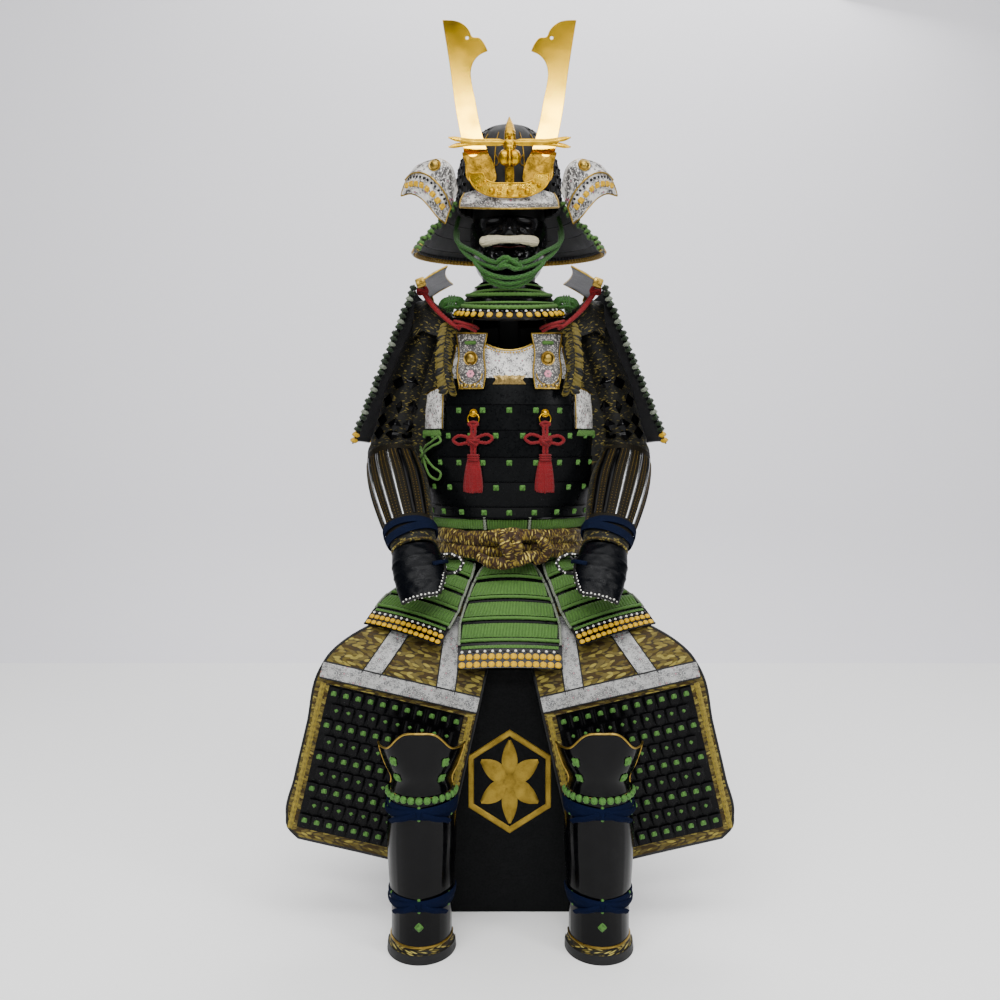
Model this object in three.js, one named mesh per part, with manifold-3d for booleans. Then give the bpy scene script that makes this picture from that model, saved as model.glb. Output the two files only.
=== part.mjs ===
// Samurai armour set out on its armour box, as if seated: helmet, face mask, throat guard, cuirass, tassets,
// shoulder guards, armoured sleeves, thigh guards and shin guards. Millimetres, +Z up, front towards -Y,
// +X is the wearer's left side, origin at the centre of the box's underside.

import * as THREE from 'three';
import { mergeVertices } from 'three/addons/utils/BufferGeometryUtils.js';
import Module from 'manifold-3d';

const wasm = await Module();
wasm.setup();

// ---------------------------------------------------------------- driving dimensions

const BOX = { width: 400, depth: 380, bodyTop: 450, top: 500, wall: 12 };
const GAP = 0.4; // clear space between two pieces that touch
const WAIST_Z = 720; // lower edge of the cuirass
const CHEST_Z = 992; // where the cuirass front ends and the chest plate begins
const ARM_Z = 892; // lower edge of the armholes

// Horizontal sections of the cuirass: half width and half depth of the outer face.
const TORSO = [
  { z: 600, wide: 150, deep: 110 },
  { z: 720, wide: 160, deep: 117 },
  { z: 792, wide: 168, deep: 121 },
  { z: 840, wide: 170, deep: 123 },
  { z: 892, wide: 171, deep: 122 },
  { z: 992, wide: 165, deep: 114 },
  { z: 1050, wide: 150, deep: 104 },
  { z: 1110, wide: 136, deep: 94 },
];

// ---------------------------------------------------------------- small tools

const rad = THREE.MathUtils.degToRad;
const point = (x, y, z) => new THREE.Vector3(x, y, z);
const mix = THREE.MathUtils.lerp;

// A value read from a table of rows, between the rows on either side of `at` in column `key`.
function read(table, key, at, column) {
  const last = table.length - 1;
  const up = table[last][key] > table[0][key] ? 1 : -1;
  let i = 0;
  while (i < last - 1 && up * at > up * table[i + 1][key]) i += 1;
  const share = (at - table[i][key]) / (table[i + 1][key] - table[i][key]);
  return mix(table[i][column], table[i + 1][column], THREE.MathUtils.clamp(share, 0, 1));
}

// A point on an upright oval, at a bearing in degrees from the front, turning towards +X.
function around(wide, deep, bearing, z) {
  return point(wide * Math.sin(rad(bearing)), -deep * Math.cos(rad(bearing)), z);
}

// A point on the cuirass, moved out from it by `out`.
function onTorso(bearing, z, out = 0) {
  const wide = read(TORSO, 'z', z, 'wide') + out;
  const deep = read(TORSO, 'z', z, 'deep') + out;
  return around(wide, deep, bearing, z);
}

const steps = (from, to, count) => Array.from({ length: count + 1 }, (_, i) => mix(from, to, i / count));

// A closed plate from the points of its outer face. `us` run across to the right and `vs` run up, seen from
// outside. The inner face lies `thick` below the outer one, or where `inner` says. A ring closes on itself.
function plate({ face, us, vs, thick = 2, inner = null, ring = false }) {
  const columns = us.length;
  const rows = vs.length;
  const outer = vs.map((v) => us.map((u) => face(u, v)));
  const column = (i) => (ring ? (i + columns) % columns : THREE.MathUtils.clamp(i, 0, columns - 1));
  const row = (j) => THREE.MathUtils.clamp(j, 0, rows - 1);
  const below = (u, v, i, j) => {
    if (inner) return inner(u, v);
    const across = outer[j][column(i + 1)].clone().sub(outer[j][column(i - 1)]);
    const along = outer[row(j + 1)][i].clone().sub(outer[row(j - 1)][i]);
    return outer[j][i].clone().addScaledVector(across.cross(along).normalize(), -thick);
  };
  const under = vs.map((v, j) => us.map((u, i) => below(u, v, i, j)));
  const positions = [...outer.flat(), ...under.flat()].flatMap((p) => p.toArray());
  const o = (i, j) => j * columns + column(i);
  const n = (i, j) => rows * columns + o(i, j);
  const index = [];
  const quad = (a, b, c, d) => index.push(a, b, c, a, c, d);
  const cells = ring ? columns : columns - 1;
  for (let i = 0; i < cells; i += 1) {
    for (let j = 0; j < rows - 1; j += 1) {
      quad(o(i, j), o(i + 1, j), o(i + 1, j + 1), o(i, j + 1));
      quad(n(i, j), n(i, j + 1), n(i + 1, j + 1), n(i + 1, j));
    }
    quad(o(i, 0), n(i, 0), n(i + 1, 0), o(i + 1, 0));
    quad(o(i, rows - 1), o(i + 1, rows - 1), n(i + 1, rows - 1), n(i, rows - 1));
  }
  if (!ring) {
    for (let j = 0; j < rows - 1; j += 1) {
      quad(o(0, j), o(0, j + 1), n(0, j + 1), n(0, j));
      quad(o(columns - 1, j), n(columns - 1, j), n(columns - 1, j + 1), o(columns - 1, j + 1));
    }
  }
  const geometry = new THREE.BufferGeometry();
  geometry.setAttribute('position', new THREE.Float32BufferAttribute(positions, 3));
  geometry.setIndex(index);
  return geometry;
}

// The same piece for the other side of the body.
function mirrored(geometry) {
  const copy = geometry.clone().scale(-1, 1, 1);
  const index = Array.from(copy.index.array);
  for (let i = 0; i < index.length; i += 3) [index[i + 1], index[i + 2]] = [index[i + 2], index[i + 1]];
  return copy.setIndex(index);
}

function solid(geometry) {
  const bare = geometry.clone();
  bare.deleteAttribute('normal');
  bare.deleteAttribute('uv');
  const merged = mergeVertices(bare, 1e-3);
  const vertProperties = new Float32Array(merged.attributes.position.array);
  const triVerts = new Uint32Array(merged.index.array);
  return new wasm.Manifold(new wasm.Mesh({ numProp: 3, vertProperties, triVerts }));
}

function geometryOf(body) {
  const mesh = body.getMesh();
  const geometry = new THREE.BufferGeometry();
  const kept = Float32Array.from({ length: mesh.numVert * 3 }, (_, i) => (
    mesh.vertProperties[Math.floor(i / 3) * mesh.numProp + (i % 3)]));
  geometry.setAttribute('position', new THREE.BufferAttribute(kept, 3));
  return geometry.setIndex(Array.from(mesh.triVerts));
}

const joined = (...parts) => geometryOf(parts.map(solid).reduce((a, b) => a.add(b)));
const cut = (part, ...tools) => geometryOf(tools.map(solid).reduce((a, b) => a.subtract(b), solid(part)));

function block(x0, x1, y0, y1, z0, z1) {
  const geometry = new THREE.BoxGeometry(x1 - x0, y1 - y0, z1 - z0);
  return geometry.translate((x0 + x1) / 2, (y0 + y1) / 2, (z0 + z1) / 2);
}

function egg(wide, deep, high, x, y, z, sides = 12) {
  const ball = new THREE.SphereGeometry(1, sides, Math.round(sides * 0.6));
  return ball.scale(wide, deep, high).translate(x, y, z);
}

// A cord of round section along a smooth line through the points given.
function cord(points, radius, stretches, sides = 8) {
  const path = new THREE.CatmullRomCurve3(points);
  const section = new THREE.Shape();
  section.absarc(0, 0, radius, 0, Math.PI * 2);
  const corners = section.getPoints(sides).slice(0, -1);
  const options = { steps: stretches, bevelEnabled: false, extrudePath: path };
  return new THREE.ExtrudeGeometry(new THREE.Shape(corners), options);
}

// Oval rings square to a line of stations; each station is a middle with a half width and a half depth.
function ringsAlong(stations) {
  const spot = (s) => point(s.x, s.y, s.z);
  return stations.map((s, i) => {
    const before = spot(stations[Math.max(i - 1, 0)]);
    const after = spot(stations[Math.min(i + 1, stations.length - 1)]);
    const along = before.sub(after).normalize();
    const side = point(1, 0, 0).addScaledVector(along, -along.x).normalize();
    const front = side.clone().cross(along);
    return (bearing, out = 0) => {
      const across = side.clone().multiplyScalar((s.wide + out) * Math.sin(rad(bearing)));
      return spot(s).add(across).addScaledVector(front, (s.deep + out) * Math.cos(rad(bearing)));
    };
  });
}

// ---------------------------------------------------------------- finishes

const finish = (color, roughness, metalness) => new THREE.MeshStandardMaterial({ color, roughness, metalness });
const BLACK = finish('#141516', 0.3, 0.1);
const LACQUER = finish('#0b0d0e', 0.18, 0.1);
const GOLD = finish('#c9a347', 0.22, 1);
const SILVER_LEATHER = finish('#b9b8b4', 0.4, 0.4);
const GREEN_LACE = finish('#3f6b34', 0.7, 0);
const BROCADE = finish('#5a4d22', 0.6, 0.1);
const WOOD = finish('#a98557', 0.6, 0);
const GREY_LEATHER = finish('#55585a', 0.6, 0);

const armour = new THREE.Group();

function add(name, geometry, material) {
  geometry.computeVertexNormals();
  const mesh = new THREE.Mesh(geometry, material);
  mesh.name = name;
  armour.add(mesh);
}

// One piece on each side, drawn on the wearer's left (+X).
function addPair(name, geometry, material) {
  add(`${name}_left`, geometry, material);
  add(`${name}_right`, mirrored(geometry), material);
}

// ---------------------------------------------------------------- armour box and the stand inside

function boxPieces() {
  const w = BOX.width / 2;
  const d = BOX.depth / 2;
  const t = BOX.wall;
  const hollow = block(t - w, w - t, t - d, d - t, t, BOX.bodyTop + 10);
  const body = cut(block(-w, w, -d, d, 0, BOX.bodyTop), hollow);
  add('box_body', body, BLACK);
  const low = BOX.bodyTop + GAP;
  const lidHollow = block(t - w, w - t, t - d, d - t, low - 10, BOX.top - t);
  add('box_lid', cut(block(-w, w, -d, d, low, BOX.top), lidHollow), BLACK);
}

// Outline of one petal, as shares of its half width and its length.
const PETAL = [
  [-0.3, 0], [0.3, 0], [0.8, 0.35], [1, 0.65], [0.7, 0.9], [0, 1], [-0.7, 0.9], [-1, 0.65], [-0.8, 0.35],
];

// A flat gilt ornament: a tall six-sided frame round a six-petalled flower.
function boxOrnament() {
  const size = { wide: 88, high: 96, rim: 12, petalWide: 15, core: 15, thick: 2 };
  const hexagon = (wide, high) => steps(0, 300, 5).map((a) => (
    new THREE.Vector2(wide * Math.sin(rad(a)), high * Math.cos(rad(a)))));
  const options = { depth: size.thick, bevelEnabled: false, curveSegments: 6 };
  const frame = new THREE.Shape(hexagon(size.wide, size.high));
  frame.holes.push(new THREE.Path(hexagon(size.wide - size.rim, size.high - size.rim).reverse()));
  const parts = [new THREE.ExtrudeGeometry(frame, options)];
  parts.push(new THREE.CylinderGeometry(size.core, size.core, size.thick, 16).rotateX(Math.PI / 2)
    .translate(0, 0, size.thick / 2));
  for (let i = 0; i < 6; i += 1) {
    const turn = rad(i * 60);
    const reach = (i % 3 === 0 ? size.high : size.high * 0.86) - size.rim / 2;
    const outline = PETAL.map(([wide, high]) => new THREE.Vector2(wide * size.petalWide, high * reach));
    parts.push(new THREE.ExtrudeGeometry(new THREE.Shape(outline), options).rotateZ(turn));
  }
  const ornament = joined(...parts).rotateX(Math.PI / 2);
  add('box_ornament', ornament.translate(0, -BOX.depth / 2 - GAP, 242), GOLD);
}

function stand() {
  const foot = block(-70, 70, -60, 60, BOX.top + GAP, BOX.top + 20);
  const post = block(-22, 22, -22, 22, BOX.top + 10, 1190);
  const bar = block(-115, 115, -18, 18, 1066, 1098);
  const profile = [
    [0, 1172], [38, 1172], [40, 1195], [52, 1215], [66, 1250], [72, 1300],
    [72, 1345], [66, 1385], [50, 1420], [26, 1440],
    [0, 1446],
  ].map(([x, z]) => new THREE.Vector2(x, z));
  const head = new THREE.LatheGeometry(profile, 16).rotateX(Math.PI / 2).scale(1, 1.18, 1);
  add('stand_and_head', joined(foot, post, bar, head), BLACK);
}

// ---------------------------------------------------------------- helmet

const BOWL = [
  { z: 1340, wide: 104, deep: 124 },
  { z: 1385, wide: 104, deep: 123 },
  { z: 1428, wide: 97, deep: 115 },
  { z: 1460, wide: 81, deep: 97 },
  { z: 1484, wide: 59, deep: 72 },
  { z: 1500, wide: 36, deep: 44 },
  { z: 1507, wide: 17, deep: 18 },
];
const HEAD_Y = -8; // the helmet sits a little forward on the head form
const BOWL_WALL = 3;

function onBowl(bearing, z, out = 0) {
  const wide = read(BOWL, 'z', z, 'wide') + out;
  const deep = read(BOWL, 'z', z, 'deep') + out;
  return around(wide, deep, bearing, z).add(point(0, HEAD_Y, 0));
}

function helmetBowl() {
  const us = steps(0, 360, 20).slice(0, -1);
  const vs = BOWL.map((s) => s.z);
  const inner = (u, v) => onBowl(u, v, -BOWL_WALL).add(point(0, 0, v > 1450 ? -BOWL_WALL : 0));
  add('helmet_bowl', plate({ face: (u, v) => onBowl(u, v), us, vs, inner, ring: true }), LACQUER);
}

function helmetVisor() {
  const inner = { wide: 108, deep: 128, z: 1354 };
  const rim = { wide: 118, deep: 162, z: 1305, rise: 42 }; // the rim rises a little towards the temples
  const face = (u, v) => {
    const z = mix(rim.z + rim.rise * (1 - Math.cos(rad(u))), inner.z, v);
    return around(mix(rim.wide, inner.wide, v), mix(rim.deep, inner.deep, v), u, z).add(point(0, HEAD_Y, 0));
  };
  const visor = plate({ face, us: steps(-54, 54, 12), vs: [0, 0.35, 0.7, 1], thick: 2.5 });
  add('helmet_visor', visor, SILVER_LEATHER);
}

// Lames of the neck guard: each flares out over the one above, from the temples round the back of the neck.
const NECK_LAMES = [
  { top: 1352, low: 1318, in: 108, out: 128, start: 74 },
  { top: 1326, low: 1294, in: 131, out: 151, start: 70 },
  { top: 1302, low: 1270, in: 154, out: 173, start: 68 },
  { top: 1278, low: 1247, in: 176, out: 194, start: 67 },
];
const NECK_DEEPER = 22; // the neck guard is this much deeper than wide
const NECK_RISE = 14; // and its back is this much higher than its sides

function neckGuard() {
  NECK_LAMES.forEach((lame, i) => {
    const rise = (u) => -NECK_RISE * Math.cos(rad(u)) * (lame.out / 194);
    const face = (u, v) => {
      const wide = mix(lame.out, lame.in, v);
      const z = mix(lame.low, lame.top, v) + rise(u);
      return around(wide, wide + NECK_DEEPER, u, z).add(point(0, HEAD_Y, 0));
    };
    const us = steps(lame.start, 360 - lame.start, 20);
    add(`neck_lame_${i + 1}`, plate({ face, us, vs: [0, 1], thick: 2 }), LACQUER);
  });
}

// The turn-back: the front end of the neck guard folded out and back beside the visor, spread like a fan.
// Its lower edge, middle and upper edge run from the root beside the visor to the outer tip.
const TURN_BACK = [
  { low: [124, -106, 1290], mid: [112, -118, 1321], high: [100, -118, 1352] },
  { low: [138, -122, 1300], mid: [123, -142, 1344], high: [108, -142, 1386] },
  { low: [153, -126, 1318], mid: [142, -150, 1361], high: [128, -148, 1402] },
  { low: [169, -119, 1336], mid: [165, -139, 1370], high: [154, -138, 1402] },
  { low: [189, -105, 1348], mid: [187, -117, 1371], high: [180, -116, 1396] },
  { low: [211, -84, 1349], mid: [206, -90, 1364], high: [199, -90, 1380] },
];

function turnBacks() {
  const face = (u, v) => point(...TURN_BACK[u][['low', 'mid', 'high'][v]]);
  const us = TURN_BACK.map((_, i) => i);
  addPair('turn_back', plate({ face, us, vs: [0, 1, 2], thick: 2 }), SILVER_LEATHER);
}

const HORN_PLATE_Y = -166;

function hornPlate() {
  const outline = [
    { x: 0, low: 1326, high: 1354 },
    { x: 30, low: 1328, high: 1355 },
    { x: 44, low: 1332, high: 1361 },
    { x: 50, low: 1335, high: 1374 },
    { x: 62, low: 1343, high: 1375 },
    { x: 70, low: 1352, high: 1375 },
    { x: 75, low: 1362, high: 1376 },
  ];
  const face = (u, v) => {
    const z = mix(read(outline, 'x', Math.abs(u), 'low'), read(outline, 'x', Math.abs(u), 'high'), v);
    return point(u, HORN_PLATE_Y + (u * u) / 420, z);
  };
  const half = outline.map((s) => s.x);
  const us = [...half.slice(1).reverse().map((x) => -x), ...half];
  add('horn_plate', plate({ face, us, vs: [0, 0.5, 1], thick: 2 }), GOLD);
}

// Outline of a flat horn, from its foot up the outer edge, over the hooked head and down the inner edge.
const HORN = [
  [78, 1372], [89, 1432], [100, 1490], [113, 1581], [127, 1668],
  [112, 1668], [97, 1665], [86, 1659], [76, 1648],
  [70, 1636], [57, 1634], [48, 1624], [41, 1609], [56, 1602], [67, 1590], [73, 1570], [71, 1547], [65, 1517],
  [56, 1469], [48, 1439], [38, 1410], [26, 1372],
];
const HORN_Y = -143;

// The horns are cut from sheet, each with a small eye pierced in its head.
function horns() {
  const outline = new THREE.Shape(HORN.map(([x, z]) => new THREE.Vector2(x, z)));
  const eye = new THREE.Path();
  eye.absarc(80, 1634, 3.2, 0, Math.PI * 2);
  outline.holes.push(eye);
  const flat = new THREE.ExtrudeGeometry(outline, { depth: 2, bevelEnabled: false, curveSegments: 5 });
  addPair('horn', mergeVertices(flat.rotateX(Math.PI / 2).translate(0, HORN_Y, 0), 1e-3), GOLD);
}

// A gilt dragonfly perched on the front of the bowl: tail up the bowl, head down, wings spread.
function dragonfly() {
  const middle = { y: -170, z: 1422 };
  const wing = (side, lift, spread) => {
    const blade = new THREE.SphereGeometry(1, 10, 6).scale(54, 2.4, 7);
    blade.translate(side * 60, 0, 0).rotateY(side * rad(lift));
    return blade.translate(0, middle.y + spread, middle.z + 6);
  };
  const stem = cord([point(0, -150, 1362), point(0, -160, 1385), point(0, -168, 1410)], 5, 4, 6);
  const tail = cord([point(0, -170, 1424), point(0, -158, 1455), point(0, -140, 1482)], 7, 4, 6);
  const body = egg(12, 11, 18, 0, middle.y, middle.z, 10);
  const eyes = [-10, 10].map((x) => egg(11, 10, 11, x, middle.y - 3, middle.z - 22, 10));
  const wings = [[-1, 2], [1, 2], [-1, -3], [1, -3]].map(([side, lift]) => wing(side, lift, lift > 0 ? 3 : -3));
  add('dragonfly_crest', joined(body, stem, tail, ...eyes, ...wings), GOLD);
}

// ---------------------------------------------------------------- face mask and throat guard

// Half width and half depth of the mask, and how far the nose, cheeks and chin stand out along its middle line.
const MASK = [
  { z: 1186, wide: 40, deep: 82, nose: 0 },
  { z: 1202, wide: 58, deep: 106, nose: 8 },
  { z: 1222, wide: 68, deep: 113, nose: 2 },
  { z: 1238, wide: 73, deep: 112, nose: -6 },
  { z: 1256, wide: 76, deep: 114, nose: 4 },
  { z: 1272, wide: 78, deep: 113, nose: 16 },
  { z: 1290, wide: 78, deep: 110, nose: 14 },
  { z: 1304, wide: 77, deep: 106, nose: 8 },
];

function faceMask() {
  const face = (u, v) => {
    const base = around(read(MASK, 'z', v, 'wide'), read(MASK, 'z', v, 'deep'), u, v);
    const ridge = Math.exp(-((u / 9) ** 2)) * read(MASK, 'z', v, 'nose');
    return base.add(point(0, HEAD_Y - ridge, 0));
  };
  const us = [-88, -72, -56, -42, -30, -20, -12, -6, 0, 6, 12, 20, 30, 42, 56, 72, 88];
  add('face_mask', plate({ face, us, vs: MASK.map((s) => s.z), thick: 2.5 }), LACQUER);
}

// Lames of the throat guard, hung below the mask like a bib: the front of each dips and reaches forward.
const THROAT_LAMES = [
  { top: 1186, low: 1160, in: 62, out: 80, dip: 4 },
  { top: 1166, low: 1141, in: 83, out: 99, dip: 14 },
  { top: 1147, low: 1122, in: 102, out: 117, dip: 24 },
];

function throatGuard() {
  THROAT_LAMES.forEach((lame, i) => {
    const face = (u, v) => {
      const wide = mix(lame.out, lame.in, v);
      const deep = wide + mix(42, 36, v);
      const z = mix(lame.low, lame.top, v) - lame.dip * Math.cos(rad(u));
      return around(wide, deep, u, z).add(point(0, HEAD_Y, 0));
    };
    add(`throat_lame_${i + 1}`, plate({ face, us: steps(-74, 74, 12), vs: [0, 1], thick: 2 }), GREEN_LACE);
  });
}

// The chin cord runs from inside the neck guard, round under the mask to a knot on the chin,
// and up the other side.
function chinCord() {
  const side = [
    { x: 0, y: -146, z: 1204 },
    { x: 34, y: -138, z: 1212 },
    { x: 64, y: -116, z: 1232 },
    { x: 88, y: -86, z: 1258 },
    { x: 96, y: -52, z: 1290 },
    { x: 98, y: -30, z: 1326 },
  ];
  const left = side.map((s) => point(s.x, s.y, s.z));
  const right = side.slice(1).map((s) => point(-s.x, s.y, s.z)).reverse();
  const loop = cord([...right, ...left], 5, 36, 8);
  const knot = egg(24, 12, 13, 0, -146, 1203, 10);
  add('chin_cord', joined(loop, knot), GREEN_LACE);
}

// ---------------------------------------------------------------- cuirass

// Where one plate of the cuirass laps the next.
const PLATE_EDGES = [WAIST_Z, 744, 792, 840, 892, 941, CHEST_Z];

// Upright share of a face whose top edge varies with the bearing.
function torsoFace(low, topAt, out) {
  return (u, v) => onTorso(u, mix(low, topAt(u), v), out);
}

function cuirass() {
  const frontTop = (u) => (Math.abs(u) < 47 ? CHEST_Z : ARM_Z);
  const frontUs = [-89.8, -78, -66, -56, -48, -46, -36, -24, -12, 0, 12, 24, 36, 46, 48, 56, 66, 78, 89.8];
  const vs = PLATE_EDGES.map((z) => (z - WAIST_Z) / (CHEST_Z - WAIST_Z));
  const front = plate({ face: torsoFace(WAIST_Z, frontTop, 0), us: frontUs, vs, thick: 2.5 });
  add('cuirass_front', front, BLACK);
  const backTop = (u) => (Math.abs(u - 180) < 47 ? 1102 : ARM_Z);
  const backVs = [...vs.slice(0, -1), 0.85, 1];
  const backUs = frontUs.map((u) => u + 180);
  const back = plate({ face: torsoFace(WAIST_Z, backTop, 0), us: backUs, vs: backVs, thick: 2.5 });
  add('cuirass_back', back, BLACK);
}

function chestPlate() {
  const low = CHEST_Z + GAP;
  const neckline = (u) => 26 * (1 - Math.cos(rad(Math.min(Math.abs(u) * 3.4, 110))));
  const top = (u) => 1046 + neckline(u) - 3 * Math.max(0, Math.abs(u) - 36);
  const us = [-45, -38, -30, -20, -10, 0, 10, 20, 30, 38, 45];
  const chest = plate({ face: torsoFace(low, top, 0), us, vs: [0, 0.5, 1], thick: 2.5 });
  add('chest_plate', chest, SILVER_LEATHER);
}

function underarmPlates() {
  const top = (u) => 962 + 34 * Math.abs(Math.cos(rad(u))) ** 1.6;
  const face = torsoFace(ARM_Z + GAP, top, 0);
  const underarm = plate({ face, us: steps(49.5, 130.5, 8), vs: [0, 0.5, 1], thick: 2.5 });
  addPair('underarm_plate', underarm, SILVER_LEATHER);
}

// Shoulder straps from the chest plate over the stand's bar to the back.
const STRAP = [
  { y: -76, z: 1026 },
  { y: -74, z: 1062 },
  { y: -58, z: 1096 },
  { y: -30, z: 1113 },
  { y: 0, z: 1117 },
  { y: 30, z: 1113 },
  { y: 56, z: 1090 },
  { y: 66, z: 1060 },
  { y: 66, z: 1026 },
];

function shoulderStraps() {
  const face = (u, v) => point(u, STRAP[v].y - Math.sign(STRAP[v].y) * (u - 74) * 0.5, STRAP[v].z);
  const strap = plate({ face, us: [74, 97, 120], vs: STRAP.map((_, i) => i), thick: 5 });
  addPair('shoulder_strap', strap, BROCADE);
}

// Shield-shaped flaps that cover the strap fastenings.
function chestFlaps() {
  const sides = [
    { z: 972, in: 50, out: 96 },
    { z: 1000, in: 46, out: 101 },
    { z: 1040, in: 49, out: 98 },
    { z: 1080, in: 43, out: 104 },
  ];
  const face = (u, v) => {
    const row = sides[v];
    const x = mix(row.in, row.out, u);
    const wide = read(TORSO, 'z', row.z, 'wide') + 7;
    const deep = read(TORSO, 'z', row.z, 'deep') + 9;
    return point(x, -deep * Math.sqrt(1 - (x / wide) ** 2), row.z);
  };
  addPair('chest_flap', plate({ face, us: [0, 0.5, 1], vs: [0, 1, 2, 3], thick: 2.5 }), SILVER_LEATHER);
}

// ---------------------------------------------------------------- belt and tassets

const BELT = { z: 671, wide: 150, deep: 117, half: 10, high: 30 };

function belt() {
  const us = steps(0, 360, 24).slice(0, -1);
  const section = [
    [-1, -0.6], [-0.4, -1], [0.7, -0.8], [1, -0.3], [0.75, 0],
    [1, 0.4], [0.6, 0.9], [-0.4, 1], [-1, 0.6],
  ];
  const ringRows = section.map(([out, up]) => us.map((u) => (
    around(BELT.wide + out * BELT.half, BELT.deep + out * BELT.half, u, BELT.z + up * BELT.high))));
  const columns = us.length;
  const rows = ringRows.length;
  const index = [];
  for (let j = 0; j < rows; j += 1) {
    for (let i = 0; i < columns; i += 1) {
      const a = j * columns + i;
      const b = j * columns + ((i + 1) % columns);
      const c = ((j + 1) % rows) * columns + ((i + 1) % columns);
      const d = ((j + 1) % rows) * columns + i;
      index.push(a, b, c, a, c, d);
    }
  }
  const ring = new THREE.BufferGeometry();
  ring.setAttribute('position', new THREE.Float32BufferAttribute(ringRows.flat().flatMap((p) => p.toArray()), 3));
  ring.setIndex(index);
  const knotY = -BELT.deep - 22;
  const upper = egg(54, 24, 22, 8, knotY, 686, 12);
  const lower = egg(62, 26, 26, -2, knotY - 2, 648, 12);
  const turn = egg(22, 22, 36, 58, knotY + 6, 668, 10);
  const tail = egg(30, 14, 22, 2, knotY - 12, 632, 10);
  add('belt', joined(ring, upper, lower, turn, tail), BROCADE);
}

// Each tasset hangs by its lacing from the cuirass, passes inside the belt and spreads over the lap.
// bearing is its place round the waist; end is the middle of its lower edge; yaw and roll turn that edge.
const TASSETS = [
  { name: 'tasset_front', bearing: 0, end: [0, -270, 470], half: 94, yaw: 0, roll: 0 },
  { name: 'tasset_front_left', bearing: 47, end: [196, -236, 526], half: 76, yaw: -18, roll: 12 },
  { name: 'tasset_side_left', bearing: 103, end: [232, -10, 545], half: 84, yaw: -88, roll: 0 },
  { name: 'tasset_back_left', bearing: 153, end: [102, 236, 500], half: 84, yaw: -166, roll: 0 },
  { name: 'tasset_back_right', bearing: 207, end: [-102, 236, 500], half: 84, yaw: 166, roll: 0 },
  { name: 'tasset_side_right', bearing: 257, end: [-232, -10, 545], half: 84, yaw: 88, roll: 0 },
  { name: 'tasset_front_right', bearing: 313, end: [-196, -236, 526], half: 76, yaw: 18, roll: -12 },
];
// The lacing part: how far in from the cuirass edge the tasset runs at each height, and its half width.
const TASSET_TOP = [
  { z: 716, in: 2, half: 48 },
  { z: 703, in: 21, half: 43 },
  { z: 690, in: 30, half: 40 },
  { z: 655, in: 32, half: 40 },
  { z: 636, in: 26, half: 40 },
];
const LAMES = 5;
const LAME_STEP = 3;

function tasset({ bearing, end, half, yaw, roll }) {
  const outward = around(1, 1, bearing, 0);
  const topAcross = around(1, 1, bearing + 90, 0);
  const endAcross = point(Math.cos(rad(yaw)), -Math.sin(rad(yaw)), Math.tan(rad(roll))).normalize();
  const waist = (row) => ({ wide: 160 - row.in, deep: 117 - row.in });
  const from = TASSET_TOP[TASSET_TOP.length - 1];
  const start = around(waist(from).wide, waist(from).deep, bearing, from.z);
  const low = point(...end);
  const slope = low.clone().sub(start).normalize();
  const lames = [];
  for (let i = 0; i < LAMES; i += 1) {
    [[i + 0.06, LAME_STEP], [i + 1, 0]].forEach(([at, step]) => {
      const share = at / LAMES;
      const across = topAcross.clone().lerp(endAcross, Math.min(1, share * 1.4)).normalize();
      const middle = start.clone().lerp(low, share).addScaledVector(outward, 10 * Math.sin(share * Math.PI));
      const wide = mix(from.half, half, Math.min(1, share * 1.7) ** 0.7);
      const out = across.clone().cross(slope).negate().normalize();
      lames.push({ middle, across, wide, out, step, bulge: mix(11, 5, share) });
    });
  }
  // The top is held round the waist by the belt; below it the lames hang free.
  const place = (u, v, lift) => {
    if (v < TASSET_TOP.length) {
      const { wide, deep } = waist(TASSET_TOP[v]);
      const rate = Math.hypot(wide * Math.cos(rad(bearing)), deep * Math.sin(rad(bearing)));
      const turn = THREE.MathUtils.radToDeg((u * TASSET_TOP[v].half) / rate);
      return around(wide + lift, deep + lift, bearing + turn, TASSET_TOP[v].z);
    }
    const lame = lames[v - TASSET_TOP.length];
    const at = lame.middle.clone().addScaledVector(lame.across, u * lame.wide);
    return at.addScaledVector(lame.out, lift - lame.bulge * u * u);
  };
  const vs = [...Array(TASSET_TOP.length + lames.length).keys()].reverse();
  const step = (v) => (v < TASSET_TOP.length ? 0 : lames[v - TASSET_TOP.length].step);
  const face = (u, v) => place(u, v, step(v));
  return plate({ face, us: [-1, -0.5, 0, 0.5, 1], vs, inner: (u, v) => place(u, v, -2.5) });
}

// ---------------------------------------------------------------- shoulder guards

const SHOULDER = {
  top: [180, 1172], low: [301, 866], front: -112, back: 132, lames: 7, step: 3, curve: 10, thick: 2.5,
};

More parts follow.
